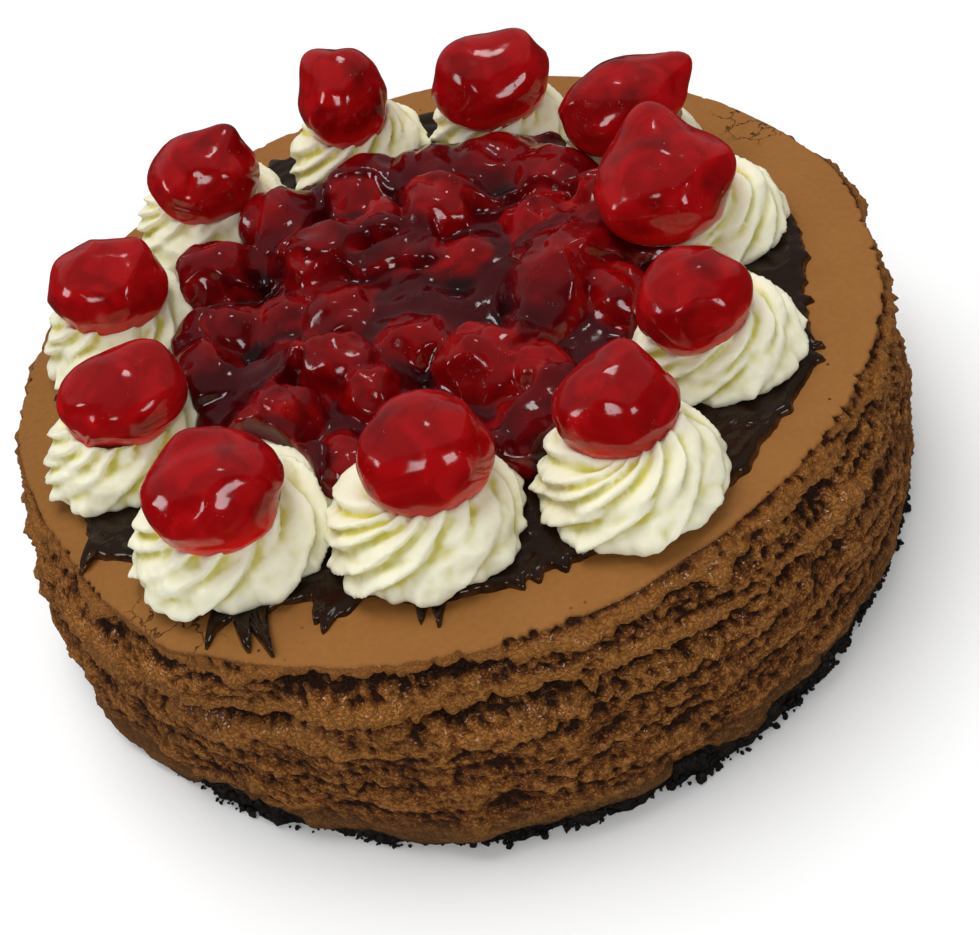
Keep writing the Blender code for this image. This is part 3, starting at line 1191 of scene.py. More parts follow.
    def crumbs(self, points: np.ndarray) -> np.ndarray:
        """The torn crumb's own relief.

        Args:
            points: Places on the side.

        Returns:
            The distance along the radius at each.
        """
        long = points * (0.7, 0.7, 1.3)
        low = smoothstep(40.0 * MM, 30.0 * MM, points[:, 2])
        torn = smoothstep(-0.25, 0.35, waves(points * (1.0, 1.0, 1.6), 26.0 * MM, 2, 4))
        coarse = 1.0 - low * (0.65 - 0.40 * torn)
        lumps = 0.9 * MM * waves(long, 8.5 * MM, 2, 5)
        ridges = 1.3 * MM * (np.abs(waves(long, 4.6 * MM, 2, 6)) - 0.22)
        flakes = 0.9 * MM * (np.abs(waves(points * (0.8, 0.8, 1.5), 2.6 * MM, 1, 9)) - 0.2)
        grains = (0.60 - 0.15 * low) * MM * waves(points, 1.5 * MM, 1, 7)
        strata = (0.35 + 0.15 * low) * MM * waves(points * (0.12, 0.12, 1.0), 3.0 * MM, 2, 8)
        calm = smoothstep(4.0 * MM, 9.0 * MM, points[:, 2])
        rugged = coarse * (lumps + ridges + flakes) + strata
        return (0.15 + 0.85 * calm) * rugged + (0.4 + 0.6 * calm) * grains

    def blurred(self, values: np.ndarray, across: int, down: int) -> np.ndarray:
        """Local means of a value over the side's grid.

        Args:
            values: One row for each ring of the side.
            across: Columns to each side.
            down: Rows to each side.

        Returns:
            The means.
        """
        wide = sum(np.roll(values, step, axis=1) for step in range(-across, across + 1))
        padded = np.pad(wide / (2 * across + 1), ((down, down), (0, 0)), mode="edge")
        rows = len(values)
        return sum(padded[step : step + rows] for step in range(2 * down + 1)) / (2 * down + 1)

    def cover(self) -> np.ndarray:
        """How much of the crust the cake's foot hides at each column, from 0 to 1."""
        shows = crust_shows(self.angles)
        return 1.0 - sum(np.roll(shows, step) for step in range(-7, 8)) / 15.0

    def foot(self) -> np.ndarray:
        """How high the cake's lower edge lies at each column."""
        foot = CAKE_BOTTOM - 4.2 * MM * self.cover() + 2.0 * MM * heaped(self.angles)
        return foot + 0.5 * MM * waves(around(self.angles, 1.0) * self.base_radius, 9.0 * MM, 2, 21)

    def tearing(self, points: np.ndarray, foot: np.ndarray) -> tuple[np.ndarray, ...]:
        """What the torn side adds to its plain form.

        Args:
            points: Places on the plain side, row by row from the top.
            foot: How high the lower edge lies at each column.

        Returns:
            Three grids: the distance along the radius, the ledges' part of it, and how far each
            place hangs down.
        """
        height = points[:, 2]
        crag = np.array([self.crag(x, y, z) for x, y, z in points])
        crag *= 0.25 + 0.75 * smoothstep(CAKE_HEIGHT, CAKE_HEIGHT - self.lip_drop, height)
        torn_rim = 0.15 + 0.85 * smoothstep(-0.15, 0.30, waves(points * LEVEL, 42.0 * MM, 1, 24))
        nicks = np.clip(waves(points * (1.0, 1.0, 0.6), 2.4 * MM, 2, 23) - 0.05, 0.0, None) * torn_rim
        crag -= 2.3 * MM * nicks * smoothstep(self.top_row - 3.0 * MM, self.top_row - 0.2 * MM, height)
        ledges, hang = self.torn_ledges(points)
        fine = ledges + self.crumbs(points)
        fine *= smoothstep(self.top_row + 0.2 * MM, self.top_row - 1.4 * MM, height)
        tuck = -1.2 * MM * smoothstep(2.6 * MM, 0.2 * MM, height - np.tile(foot, self.side_rows))
        grid = (self.side_rows, self.columns)
        return (crag + fine + tuck).reshape(grid), ledges.reshape(grid), hang.reshape(grid)

    def cavity(self, shift: np.ndarray, ledges: np.ndarray) -> np.ndarray:
        """How deep each place of the side lies among its neighbours.

        Args:
            shift: How far the side stands out or in.
            ledges: The ledges' part of it.

        Returns:
            0 on crests to 1 in hollows, about 0.5 on flat ground.
        """
        near = self.blurred(shift, *self.near_blur) - shift
        broad = self.blurred(shift, *self.broad_blur) - shift
        cavity = 0.5 + 0.42 * near / (0.7 * MM) + 0.40 * broad / (2.2 * MM)
        # Deeper still under a ledge, where the finish paints the overhang's shade
        return np.clip(cavity + 0.32 * smoothstep(1.0 * MM, 4.2 * MM, -ledges), 0.0, 1.0)

    def top(self, plan: np.ndarray) -> tuple[np.ndarray, np.ndarray]:
        """The smooth top and its rounded rim.

        Args:
            plan: The flat top's radius at each column.

        Returns:
            The radii and the heights of its rings, the inmost ring first.
        """
        way = around(self.angles, 1.0)
        radii = []
        heights = []
        for share in self.top_shares:
            spot = way * (share * plan)[:, None]
            rise = 0.22 * MM * waves(spot, 30.0 * MM, 2, 31) + 0.05 * MM * waves(spot, 5.0 * MM, 2, 32)
            radii.append(share * plan)
            heights.append(CAKE_HEIGHT + rise - 0.35 * MM * smoothstep(0.93, 1.0, share))
        rim = heights[-1]
        for turn in np.radians(self.rim_turns):
            radii.append(plan + self.roll_out * math.sin(turn))
            heights.append(rim + (self.top_row - rim) * (1.0 - math.cos(turn)))
        return np.array(radii), np.array(heights)

    def build(self, finish: Material) -> Piece:
        """Builds the cake.

        Args:
            finish: Its material.

        Returns:
            The piece.
        """
        way = around(self.angles, 1.0)
        foot = self.foot()
        shares = np.linspace(0.0, 1.0, self.side_rows)[:, None]
        heights = self.top_row + (foot[None, :] - self.top_row) * shares
        radii = self.side_radius(heights)
        points = np.tile(way, (self.side_rows, 1)) * radii.reshape(-1, 1)
        points[:, 2] = heights.ravel()
        shift, ledges, hang = self.tearing(points, foot)
        radii = radii + shift
        plan = radii[0] - self.roll_out
        top_radii, top_heights = self.top(plan)
        radii = np.concatenate([top_radii, radii])
        heights = np.concatenate([top_heights, heights - hang])
        skin = np.tile(way, (len(radii), 1)) * radii.reshape(-1, 1)
        skin[:, 2] = heights.ravel()
        ends = [(0.0, 0.0, CAKE_HEIGHT), (0.0, 0.0, CAKE_BOTTOM - 3.0 * MM)]
        side = np.ones(radii.shape)
        side[: len(self.top_shares)] = 0.0
        side[len(self.top_shares) : len(top_radii)] = np.array(self.rim_looks)[:, None]
        cavity = np.concatenate([np.full(top_radii.shape, 0.5), self.cavity(shift, ledges)])
        marks = {
            "side": side,
            # How deep a place lies, which the finish turns into painted shade in hollows and painted light
            # on crests
            "cavity": cavity,
            "lip": smoothstep(50.0 * MM, 53.0 * MM, heights) * side * smoothstep(0.66, 0.50, cavity),
            "band": smoothstep(14.0 * MM, 8.0 * MM, heights),
            "rim": smoothstep(0.88, 0.93, radii / plan[None, :]) * (1.0 - side),
        }
        marks = {name: np.append(values.ravel(), (0.0, 0.5)) for name, values in marks.items()}
        faces = ring_faces(len(radii), self.columns)
        piece = new_piece("cake_body", np.concatenate([skin, ends]), faces, marks)
        settle(piece, finish, Slot.CHEESECAKE, "cheesecake")
        return piece


# Azimuth in degrees, then in mm: how far the foot and the rim stand out, and how far the rim's
# last few millimetres of height are drawn in
UNEVEN_PLAN = (
    (-180.0, 3.8, -1.6, 0.6), (-168.0, 3.9, -1.6, 3.4), (-158.0, 1.2, -1.5, 3.8),
    (-148.0, 1.0, -1.4, 2.6), (-140.0, 1.8, -1.0, 0.6), (-132.0, 0.6, 0.0, -0.6),
    (-126.0, 1.2, -0.6, 1.2), (-120.0, -0.4, -0.4, 2.0), (-114.0, 1.6, -0.2, 2.4),
    (-108.0, 2.7, 0.0, 2.2), (-98.0, 3.4, 0.2, 2.4), (-80.0, 2.8, 0.2, 4.0), (-70.0, 3.2, 0.2, 5.4),
    (-60.0, 2.2, 0.0, 5.0), (-52.0, 0.7, 0.0, 4.0), (-38.0, 0.3, 0.0, 2.8),
    (-20.0, -0.6, -0.4, 1.0), (0.0, -1.0, -0.8, 0.0), (20.0, -1.0, -1.6, 0.0),
    (50.0, 0.0, -1.8, 0.0), (80.0, 0.6, -0.6, 0.0), (130.0, 1.0, 0.0, 0.0), (160.0, 2.4, -1.0, 0.0),
)


def uneven_plan(angles: np.ndarray, column: int) -> np.ndarray:
    """How far the cake's plan departs from a circle.

    Args:
        angles: Azimuths in radians.
        column: 1 at the foot, 2 at the rim, 3 for how far the rim is drawn in.

    Returns:
        The distance along the radius at each.
    """
    table = np.array(UNEVEN_PLAN)
    return MM * np.interp(np.degrees(angles), table[:, 0], table[:, column], period=360.0)


# Where the dark crust shows below the cake: azimuth and half-width in degrees, and how much
CRUST_PATCHES = (
    (-170.0, 5.0, 0.9), (-128.5, 7.5, 1.0), (-117.5, 6.5, 0.65), (-100.5, 4.0, 0.35),
    (-96.5, 2.0, 0.8), (-91.0, 3.5, 0.7), (-86.0, 2.5, 0.75), (-77.0, 3.5, 1.0), (-65.0, 9.0, 0.65),
    (-52.0, 6.0, 0.9), (-38.0, 12.0, 0.75), (-28.0, 4.0, 1.0), (-8.0, 16.0, 0.5), (14.0, 5.0, 0.9),
    (42.0, 12.0, 0.5), (66.0, 9.0, 0.9), (104.0, 16.0, 0.5), (128.0, 6.0, 1.0), (160.0, 8.0, 0.6),
)


def crust_shows(angles: np.ndarray) -> np.ndarray:
    """How far the crust shows below the cake.

    Args:
        angles: Azimuths in radians.

    Returns:
        0 where the cake's foot hides it to 1 where all of it shows.
    """
    shows = np.zeros(len(angles))
    ragged = 2.6 * waves(around(angles, 112.0 * MM), 9.0 * MM, 2, 91)
    for azimuth, half, amount in CRUST_PATCHES:
        away = np.degrees(np.abs(turned_from(angles, azimuth)))
        shows = np.maximum(shows, amount * smoothstep(half + 2.0, half - 1.5, away + ragged))
    return shows


def heaped(angles: np.ndarray) -> np.ndarray:
    """Where the crust stands higher than elsewhere, from 0 to 1."""
    return smoothstep(0.78, 1.0, crust_shows(angles))


@dataclass
class Crust:
    """A thin layer of dark cookie crumbs under the cake, with loose-looking crumbs set in it."""

    columns: int = 720
    radius: float = 112.4 * MM
    crumb_depth: float = 1.3 * MM
    crumbs: int = 1800
    seed: int = 11
    levels: int = 9
    crumb_sizes: tuple[float, ...] = (0.35, 0.5, 0.68, 0.9, 1.2)
    # How common each of those sizes is
    crumb_shares: tuple[float, ...] = (0.32, 0.30, 0.22, 0.12, 0.04)

    def reach(self, angles: np.ndarray) -> np.ndarray:
        """The layer's radius before its crumbs, drawn in where the cake hides it."""
        return self.radius - 0.7 * MM - 1.6 * MM * (1.0 - crust_shows(angles)) + uneven_plan(angles, 1)

    def layer(self) -> tuple[np.ndarray, list, np.ndarray]:
        """The layer itself.

        Returns:
            Points, faces, and each point's share of hollow.
        """
        angles = circle_steps(self.columns)
        way = around(angles, 1.0)
        rings = []
        relief = []
        levels = [CRUST_HEIGHT * share / self.levels for share in range(self.levels, -1, -1)]
        levels = [CRUST_HEIGHT + 0.3 * MM] + levels
        for share in (0.5, 0.9):
            ring = way * self.radius * share
            ring[:, 2] = CRUST_HEIGHT
            rings.append(ring)
            relief.append(np.zeros(self.columns))
        taller = 1.0 + 0.42 * heaped(angles)
        for number, flat_level in enumerate(levels):
            level = flat_level * taller
            spot = way * self.radius
            spot[:, 2] = level
            bumps = np.array([rough((x, y, 2.0 * z), 150.0, 3, 5.0) for x, y, z in spot]) * self.crumb_depth
            bumps += (
                0.9 * MM * (0.4 - np.abs(waves(spot, 3.2 * MM, 2, 15)))
                + 0.35 * MM * waves(spot, 1.5 * MM, 1, 16)
            )
            radius = self.reach(angles) + bumps - (1.2 * MM if number == 0 else 0.0)
            if number == len(levels) - 1:
                radius = radius - 0.8 * MM
            ring = way * radius[:, None]
            ring[:, 2] = level
            rings.append(ring)
            relief.append(bumps)
        ends = [(0.0, 0.0, CRUST_HEIGHT), (0.0, 0.0, 0.0)]
        points = np.concatenate(rings + [np.array(ends)])
        hollow = np.clip(0.5 - np.concatenate(relief + [np.zeros(2)]) / (2.0 * MM), 0.0, 1.0)
        return points, ring_faces(len(rings), self.columns), hollow

    def crumb_skin(self) -> tuple[np.ndarray, list]:
        """Separate crumbs stuck in the layer and the cake's foot.

        Returns:
            Points and faces of all of them.
        """
        shapes = []
        for fineness in (1, 2):
            ball = bmesh.new()
            bmesh.ops.create_icosphere(ball, subdivisions=fineness, radius=1.0)
            corners = np.array([vertex.co[:] for vertex in ball.verts])
            sides = np.array([[vertex.index for vertex in face.verts] for face in ball.faces])
            shapes.append((corners, sides))
            ball.free()
        random = np.random.default_rng(self.seed)
        points, faces = [], []
        placed = 0
        total = 0
        while placed < self.crumbs:
            angle = random.uniform(0.0, TAU)
            shows = crust_shows(np.array([angle]))[0]
            if random.uniform() > 0.10 + 0.90 * shows:
                continue
            size = MM * random.choice(self.crumb_sizes, p=self.crumb_shares)
            shape, sides = shapes[int(size > 0.7 * MM)]
            taller = 1.0 + 0.5 * float(heaped(np.array([angle]))[0])
            level = random.uniform(0.2 * MM, 5.4 * MM * (0.35 + 0.65 * shows) * taller)
            level = max(level, 0.6 * size)
            reach = float(self.reach(np.array([angle]))[0])
            out = reach + random.uniform(-0.3, 0.7) * MM + 0.6 * MM * smoothstep(2.5 * MM, 0.3 * MM, level)
            stretch = random.uniform(0.65, 1.2, 3) * size
            bent = shape * (1.0 + 0.55 * waves(shape, 0.9, 2, placed)[:, None]) * stretch
            spin = Matrix.Rotation(random.uniform(0.0, TAU), 3, Vector(random.normal(size=3)))
            bent = bent @ np.array(spin).T
            middle = np.array([math.cos(angle) * out, math.sin(angle) * out, level])
            faces.append(sides + total)
            points.append(bent + middle)
            placed += 1
            total += len(shape)
        skin = np.concatenate(points)
        skin[:, 2] = np.maximum(skin[:, 2], 0.02 * MM)
        return skin, np.concatenate(faces).tolist()

    def build(self, finish: Material) -> list[Piece]:
        """Builds the layer and its crumbs.

        Args:
            finish: Their material.

        Returns:
            The two pieces.
        """
        points, faces, hollow = self.layer()
        layer = new_piece("crust_layer", points, faces, {"cavity": hollow})
        settle(layer, finish, Slot.CRUST, "cookie_crust")
        points, faces = self.crumb_skin()
        crumbs = new_piece("crust_crumbs", points, faces)
        settle(crumbs, finish, Slot.CRUST)
        return [layer, crumbs]


@dataclass
class Fudge:
    """Dark fudge spread over the middle of the top, dragged out in points."""

    columns: int = 900
    radius: float = 92.0 * MM
    thick: float = 1.5 * MM
    rows: int = 30
    # How many columns to each side the search for the nearest edge takes in
    search: int = 24
    # Azimuth in degrees and radius in mm of points along the edge
    edge: tuple[tuple[float, float], ...] = (
        (-163.0, 93.0), (-156.0, 97.5), (-150.5, 100.0), (-146.5, 96.0), (-143.0, 94.2),
        (-140.0, 93.6), (-134.0, 93.4), (-129.0, 94.0), (-126.0, 96.0), (-123.5, 96.4),
        (-121.2, 92.2), (-117.2, 90.2), (-115.6, 93.0), (-113.8, 95.0), (-111.6, 92.4),
        (-109.6, 88.8), (-106.5, 89.8), (-104.0, 91.2), (-101.0, 92.8), (-96.0, 92.2),
        (-91.0, 93.2), (-85.0, 91.8), (-79.0, 93.0), (-70.0, 93.0), (-59.0, 97.0), (-52.0, 95.2),
        (-43.0, 95.4), (-36.0, 95.6), (-31.0, 92.6), (-22.0, 89.2), (-12.0, 91.4), (-4.0, 91.0),
        (40.0, 91.0), (110.0, 92.5), (137.0, 92.5), (175.0, 93.0),
    )
    # Azimuth in degrees, tip radius and half-width in mm, and lean in degrees, of each drag
    drags: tuple[tuple[float, float, float, float], ...] = (
        (-172.0, 97.0, 2.6, 0.0), (-152.6, 105.0, 2.6, 2.4), (-129.0, 106.8, 1.9, 1.8),
        (-126.6, 105.0, 3.2, 4.6), (-124.2, 105.4, 1.9, 5.4), (-115.4, 96.4, 1.8, 0.0),
        (-114.0, 98.6, 1.8, -0.6), (-102.0, 97.5, 1.5, 0.0), (-99.8, 99.3, 1.4, -0.8),
        (-89.6, 95.0, 1.6, 0.6), (-87.0, 94.6, 1.6, 0.0), (-83.4, 94.4, 1.8, -0.8),
        (-35.4, 97.8, 1.5, 0.0), (-33.0, 97.0, 1.2, 0.0), (-23.4, 92.3, 1.4, 0.0),
        (62.0, 94.0, 2.0, 0.0), (109.2, 96.2, 3.0, 0.0), (136.2, 95.6, 3.4, 0.0),
        (173.0, 98.0, 2.4, 0.0),
    )

    def reach(self, angles: np.ndarray) -> tuple[np.ndarray, np.ndarray]:
        """The spread's edge: wavy, with torn points, dragged out at set places.

        Args:
            angles: Azimuths in radians.

        Returns:
            The radius at each, and how far the edge leans round there.
        """
        rim = around(angles, self.radius)
        table = np.array(self.edge)
        base = MM * np.interp(np.degrees(angles), table[:, 0], table[:, 1], period=360.0)
        points = np.clip(waves(rim, 3.4 * MM, 1, 101), 0.0, None)
        base += 0.5 * MM * waves(rim, 9.0 * MM, 2, 102)
        base += 1.1 * MM * points**1.3 + 0.3 * MM * waves(rim, 1.9 * MM, 1, 103)
        reach = base
        lean = np.zeros(len(angles))
        for azimuth, tip, width, turn in self.drags:
            away = turned_from(angles, azimuth)
            share = np.clip(1.0 - np.abs(away) * self.radius / (width * MM), 0.0, None)
            rise = smoothstep(0.0, 1.0, share**0.75)
            lean = np.where(rise > 0.0, np.maximum(lean, math.radians(turn) * rise), lean)
            reach = np.maximum(reach, base + (tip * MM - base) * rise)
        return reach, lean

    def build(self, finish: Material) -> Piece:
        """Builds the spread.

        Args:
            finish: Its material.

        Returns:
            The piece.
        """
        angles = circle_steps(self.columns)
        reach, lean = self.reach(angles)
        shares = np.concatenate([(0.4, 0.55, 0.66), np.linspace(0.72, 1.0, self.rows)])
        rows, heights, thins = [], [], []
        outline = around(angles + lean, 1.0) * reach[:, None]
        for share in shares:
            turned = angles + lean * smoothstep(0.88, 1.0, share)
            spot = around(turned, 1.0) * (reach * share)[:, None]
            gap = self.edge_distance(spot, outline) if share > 0.8 else np.full(self.columns, FAR)
            inner = np.clip(1.0 - gap / (1.9 * MM), 0.0, 1.0)
            dome = np.sqrt(1.0 - inner * inner)
            streak = np.stack([reach * share, 0.16 * self.radius * angles, 0.0 * angles], axis=1)
            relief = 0.40 * MM * waves(streak, 3.0 * MM, 1, 104)
            relief = relief + 0.40 * MM * waves(spot, 8.0 * MM, 2, 105)
            heights.append(FUDGE_BOTTOM - 0.5 * MM + dome * (self.thick + 0.4 * MM + relief))
            thins.append(1.0 - smoothstep(0.2, 0.95, dome))
            rows.append(spot)
        rows.append(rows[-1] * 0.995)
        heights.append(heights[-1] - 0.4 * MM)
        thins.append(thins[-1])
        skin = np.concatenate(rows)
        skin[:, 2] = np.concatenate(heights)
        ends = [(0.0, 0.0, FUDGE_BOTTOM + self.thick), (0.0, 0.0, FUDGE_BOTTOM - 0.9 * MM)]
        marks = {"thin": np.append(np.concatenate(thins), (0.0, 0.0))}
        faces = ring_faces(len(rows), self.columns)
        piece = new_piece("fudge_spread", np.concatenate([skin, ends]), faces, marks)
        settle(piece, finish, Slot.FUDGE, "fudge_layer")
        return piece

    def edge_distance(self, spots: np.ndarray, outline: np.ndarray) -> np.ndarray:
        """How far each point lies from the spread's edge.

        Args:
            spots: One point for each column.
            outline: The edge.

        Returns:
            The distances.
        """
        least = np.full(len(spots), 1.0)
        for step in range(-self.search, self.search + 1):
            other = np.roll(outline, step, axis=0)
            least = np.minimum(least, np.linalg.norm((spots - other)[:, :2], axis=1))
        return least


ROSETTE_NODES = tuple(f"rosette_{number:02d}" for number in range(1, 12))
CHERRY_NODES = tuple(f"cherry_{number:02d}" for number in range(1, 12))


@dataclass(frozen=True)
class Nub:
    """A soft bump on a cherry: its direction, how far it rises, and how wide it is."""

    azimuth: float
    elevation: float
    rise: float
    spread: float

    def way(self) -> np.ndarray:
        """Its direction as a unit vector."""
        turn, lift = math.radians(self.azimuth), math.radians(self.elevation)
        return np.array([math.cos(turn) * math.cos(lift), math.sin(turn) * math.cos(lift), math.sin(lift)])


@dataclass
class Cherry:
    """One gel-covered cherry on a rosette."""

    number: int
    across: float
    back: float
    half_length: float
    half_width: float
    half_height: float
    turn: float
    nubs: tuple[Nub, ...]
    columns: int = 96
    rows: int = 58
    lowered: float = 1.3 * MM
    middle: np.ndarray = field(init=False)

    def __post_init__(self) -> None:
        """Sets the cherry's middle, pressed into its rosette as the solid is."""
        lift = TOPPING_BOTTOM + ROSETTE_HEIGHT - SINK + self.half_height * MM - self.lowered
        self.middle = np.array([self.across * MM, self.back * MM, lift])

    def spun(self) -> np.ndarray:
        """The turn about the vertical, as a matrix."""
        return np.array(Matrix.Rotation(math.radians(self.turn), 3, "Z"))

    def sizes(self) -> np.ndarray:
        """The half-sizes in metres."""
        return np.array([self.half_length, self.half_width, self.half_height]) * MM

    def depth(self, points: np.ndarray) -> np.ndarray:
        """How far out points lie.

        Args:
            points: Places in metres.

        Returns:
            Below 1 inside the cherry, above 1 outside.
        """
        local = (points - self.middle) @ self.spun()
        return np.linalg.norm(local / self.sizes(), axis=1)

    def fitted(self, shape: np.ndarray) -> np.ndarray:
        """Fits a lumpy ball to the cherry's half-sizes.

        Args:
            shape: Points of the ball.

        Returns:
            The points, with the lumps inside the half-sizes on every side.
        """
        most = np.where(shape > 0.0, shape.max(axis=0), -shape.min(axis=0))
        return shape * self.sizes() / (0.25 + 0.75 * most)

    def build(self, finish: Material) -> Piece:
        """Builds the cherry.

        Args:
            finish: Its material.

        Returns:
            The piece.
        """
        turns = circle_steps(self.columns)
        ways = []
        for row in range(1, self.rows):
            polar = math.pi * row / self.rows
            ring = around(turns, math.sin(polar))
            ring[:, 2] = math.cos(polar)
            ways.append(ring)
        way = np.concatenate(ways + [np.array([(0.0, 0.0, 1.0), (0.0, 0.0, -1.0)])])
        facing = way @ self.spun().T
        swell = 1.0 + 0.06 * waves(way, 1.3, 2, 200 + self.number)
        swell += 0.014 * waves(way, 0.42, 2, 230 + self.number)
        folds = waves(way, 1.1, 1, 215 + self.number)
        swell -= 0.10 * np.sqrt(folds * folds + 0.002)
        for nub in self.nubs:
            close = np.clip(facing @ nub.way(), -1.0, 1.0)
            away = np.degrees(np.arccos(close)) / nub.spread
            swell += nub.rise * np.exp(-(np.abs(away) ** 1.9))
        sag = smoothstep(-0.15, -0.75, way[:, 2])
        swell *= 1.0 + 0.03 * sag
        points = self.fitted(way * swell[:, None]) @ self.spun().T + self.middle
        low = smoothstep(-0.02, -0.46, way[:, 2] + 0.12 * waves(way, 0.9, 2, 260 + self.number))
        ripple = waves(way, 0.8, 2, 290 + self.number)
        cover = 0.42 * smoothstep(0.0, 0.8, ripple) + 0.16 * smoothstep(0.4, 0.95, way[:, 2])
        cover = np.clip(cover, 0.0, 1.0) * (1.0 - low)
        marks = {"cover": cover, "thin": 0.55 * low**1.5}
        faces = ring_faces(self.rows - 1, self.columns)
        piece = new_piece(f"gel_cherry_{self.number:02d}", points, faces, marks)
        settle(piece, finish, Slot.CHERRY, CHERRY_NODES[self.number - 1])
        return piece


@dataclass
class Rosette:
    """A piped swirl of cream: a star-shaped rope that climbs round twice."""

    number: int
    cherry: Cherry
    start: float
    plain: float
    width: float
    shift: tuple[float, float]
    height: float = ROSETTE_HEIGHT
    lobes: int = 6
    turns: float = 2.2
    star: float = 0.40
    wall: float = 0.86
    twist: float = 1.75
    voxel: float = 0.62 * MM
    path_steps: int = 330
    rope_steps: int = 72
    core_rows: int = 14
    core_columns: int = 40
    # The fewest points of a bit that isn't a bubble
    least_bit: int = 100
    # The cherry's hollow in the cream, as a share of the cherry
    hollow: float = 0.97
    middle: np.ndarray = field(init=False)
    half: float = field(init=False)

    def __post_init__(self) -> None:
        """Takes the swirl's place and half-width from its node's box."""
        low, high = (np.array(corner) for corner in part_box(ROSETTE_NODES[self.number - 1]))
        corners = vectors_of(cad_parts[ROSETTE_NODES[self.number - 1]].data, "co")
        foot = corners[corners[:, 2] < low[2] + 0.1 * MM]
        self.middle = foot.mean(axis=0) + np.array([*self.shift, 0.0]) * MM
        self.half = 0.25 * self.width * float(high[0] - low[0] + high[1] - low[1])

    def rope(self) -> tuple[np.ndarray, list]:
        """The rope's skin.

        Returns:
            Points and faces.
        """
        share = np.linspace(0.0, 1.0, self.path_steps)
        angle = math.radians(self.start) + TAU * self.turns * share
        late = smoothstep(0.38, 0.97, share)
        thick = self.half * (0.395 - 0.075 * late)
        out = self.half * (0.650 - 0.225 * late)
        ends = np.minimum(share / 0.035, (1.0 - share) / 0.05)
        thick = thick * np.sqrt(np.clip(1.0 - (1.0 - np.clip(ends, 0.0, 1.0)) ** 2, 0.02, 1.0))
        lift = self.half * 0.16 + (self.height - self.half * 0.45) * smoothstep(0.10, 1.0, share)
        outward = around(angle, 1.0)
        upward = np.array([0.0, 0.0, 1.0])
        centre = outward * out[:, None] + upward * lift[:, None]
        rings = []
        cross = circle_steps(self.rope_steps)
        for step in range(self.path_steps):
            sway = 0.07 * math.sin(3.0 * angle[step] + self.number)
            uneven = (
                cross
                + 0.36 * np.sin(cross + self.number)
                + (0.14 + sway) * np.sin(2.0 * cross + self.number)
            )
            lobe = np.remainder(self.lobes * uneven / TAU, 1.0)
            groove = np.where(lobe < self.wall, (lobe / self.wall) ** 1.3, smoothstep(1.0, self.wall, lobe))
            away = (angle[step] - math.radians(self.plain)) / 0.5
            depth = self.star * (1.0 - 0.85 * math.exp(-away * away))
            radius = thick[step] * (1.0 - depth * groove)
            roll = cross + TAU * self.twist * self.turns * share[step]
            sideways = np.cos(roll)[:, None] * outward[step] + 0.92 * np.sin(roll)[:, None] * upward
            rings.append(centre[step] + sideways * radius[:, None])
        points = np.concatenate(rings + [centre[:1], centre[-1:]])
        return points, ring_faces(self.path_steps, self.rope_steps)

    def core(self) -> tuple[np.ndarray, list]:
        """The cream inside the coils.

        Returns:
            Points and faces.
        """
        turns = circle_steps(self.core_columns)
        rings = []
        for polar in np.linspace(0.2, math.pi - 0.2, self.core_rows):
            ring = around(turns, math.sin(polar) ** 0.6 * 0.62 * self.half)
            ring[:, 2] = 0.40 * self.height + 0.42 * self.height * math.cos(polar)
            rings.append(ring)
        ends = [(0.0, 0.0, 0.82 * self.height), (0.0, 0.0, 0.0)]
        return np.concatenate(rings + [np.array(ends)]), ring_faces(len(rings), self.core_columns)

    def build(self, finish: Material) -> Piece:
        """Builds the swirl.

        Args:
            finish: Its material.

        Returns:
            The piece.
        """
        points, faces = self.rope()
        inner, inner_faces = self.core()
        shifted = [tuple(index + len(points) for index in face) for face in inner_faces]
        name = f"cream_rosette_{self.number:02d}"
        piece = new_piece(name, np.concatenate([points, inner]), list(map(tuple, faces)) + shifted)
        remesh = piece.modifiers.new("knit", "REMESH")
        remesh.mode = "VOXEL"
        remesh.voxel_size = self.voxel
        remesh.use_smooth_shade = True
        soften(piece, 0.4, 1)
        bpy.context.view_layer.update()
        graph = bpy.context.evaluated_depsgraph_get()
        mesh = bpy.data.meshes.new_from_object(piece.evaluated_get(graph))
        drop_bubbles(mesh, self.least_bit)
        piece.modifiers.clear()
        piece.data = mesh
        piece.data.name = name
        mesh.vertices.foreach_set("co", self.shaped(vectors_of(mesh, "co")).ravel())
        mesh.update()
        # How deep each point lies in a groove, which the finish paints with yellowish shade
        mark_piece(piece, "groove", hollows(piece, 10, 0.7 * MM))
        settle(piece, finish, Slot.CREAM, ROSETTE_NODES[self.number - 1])
        return piece

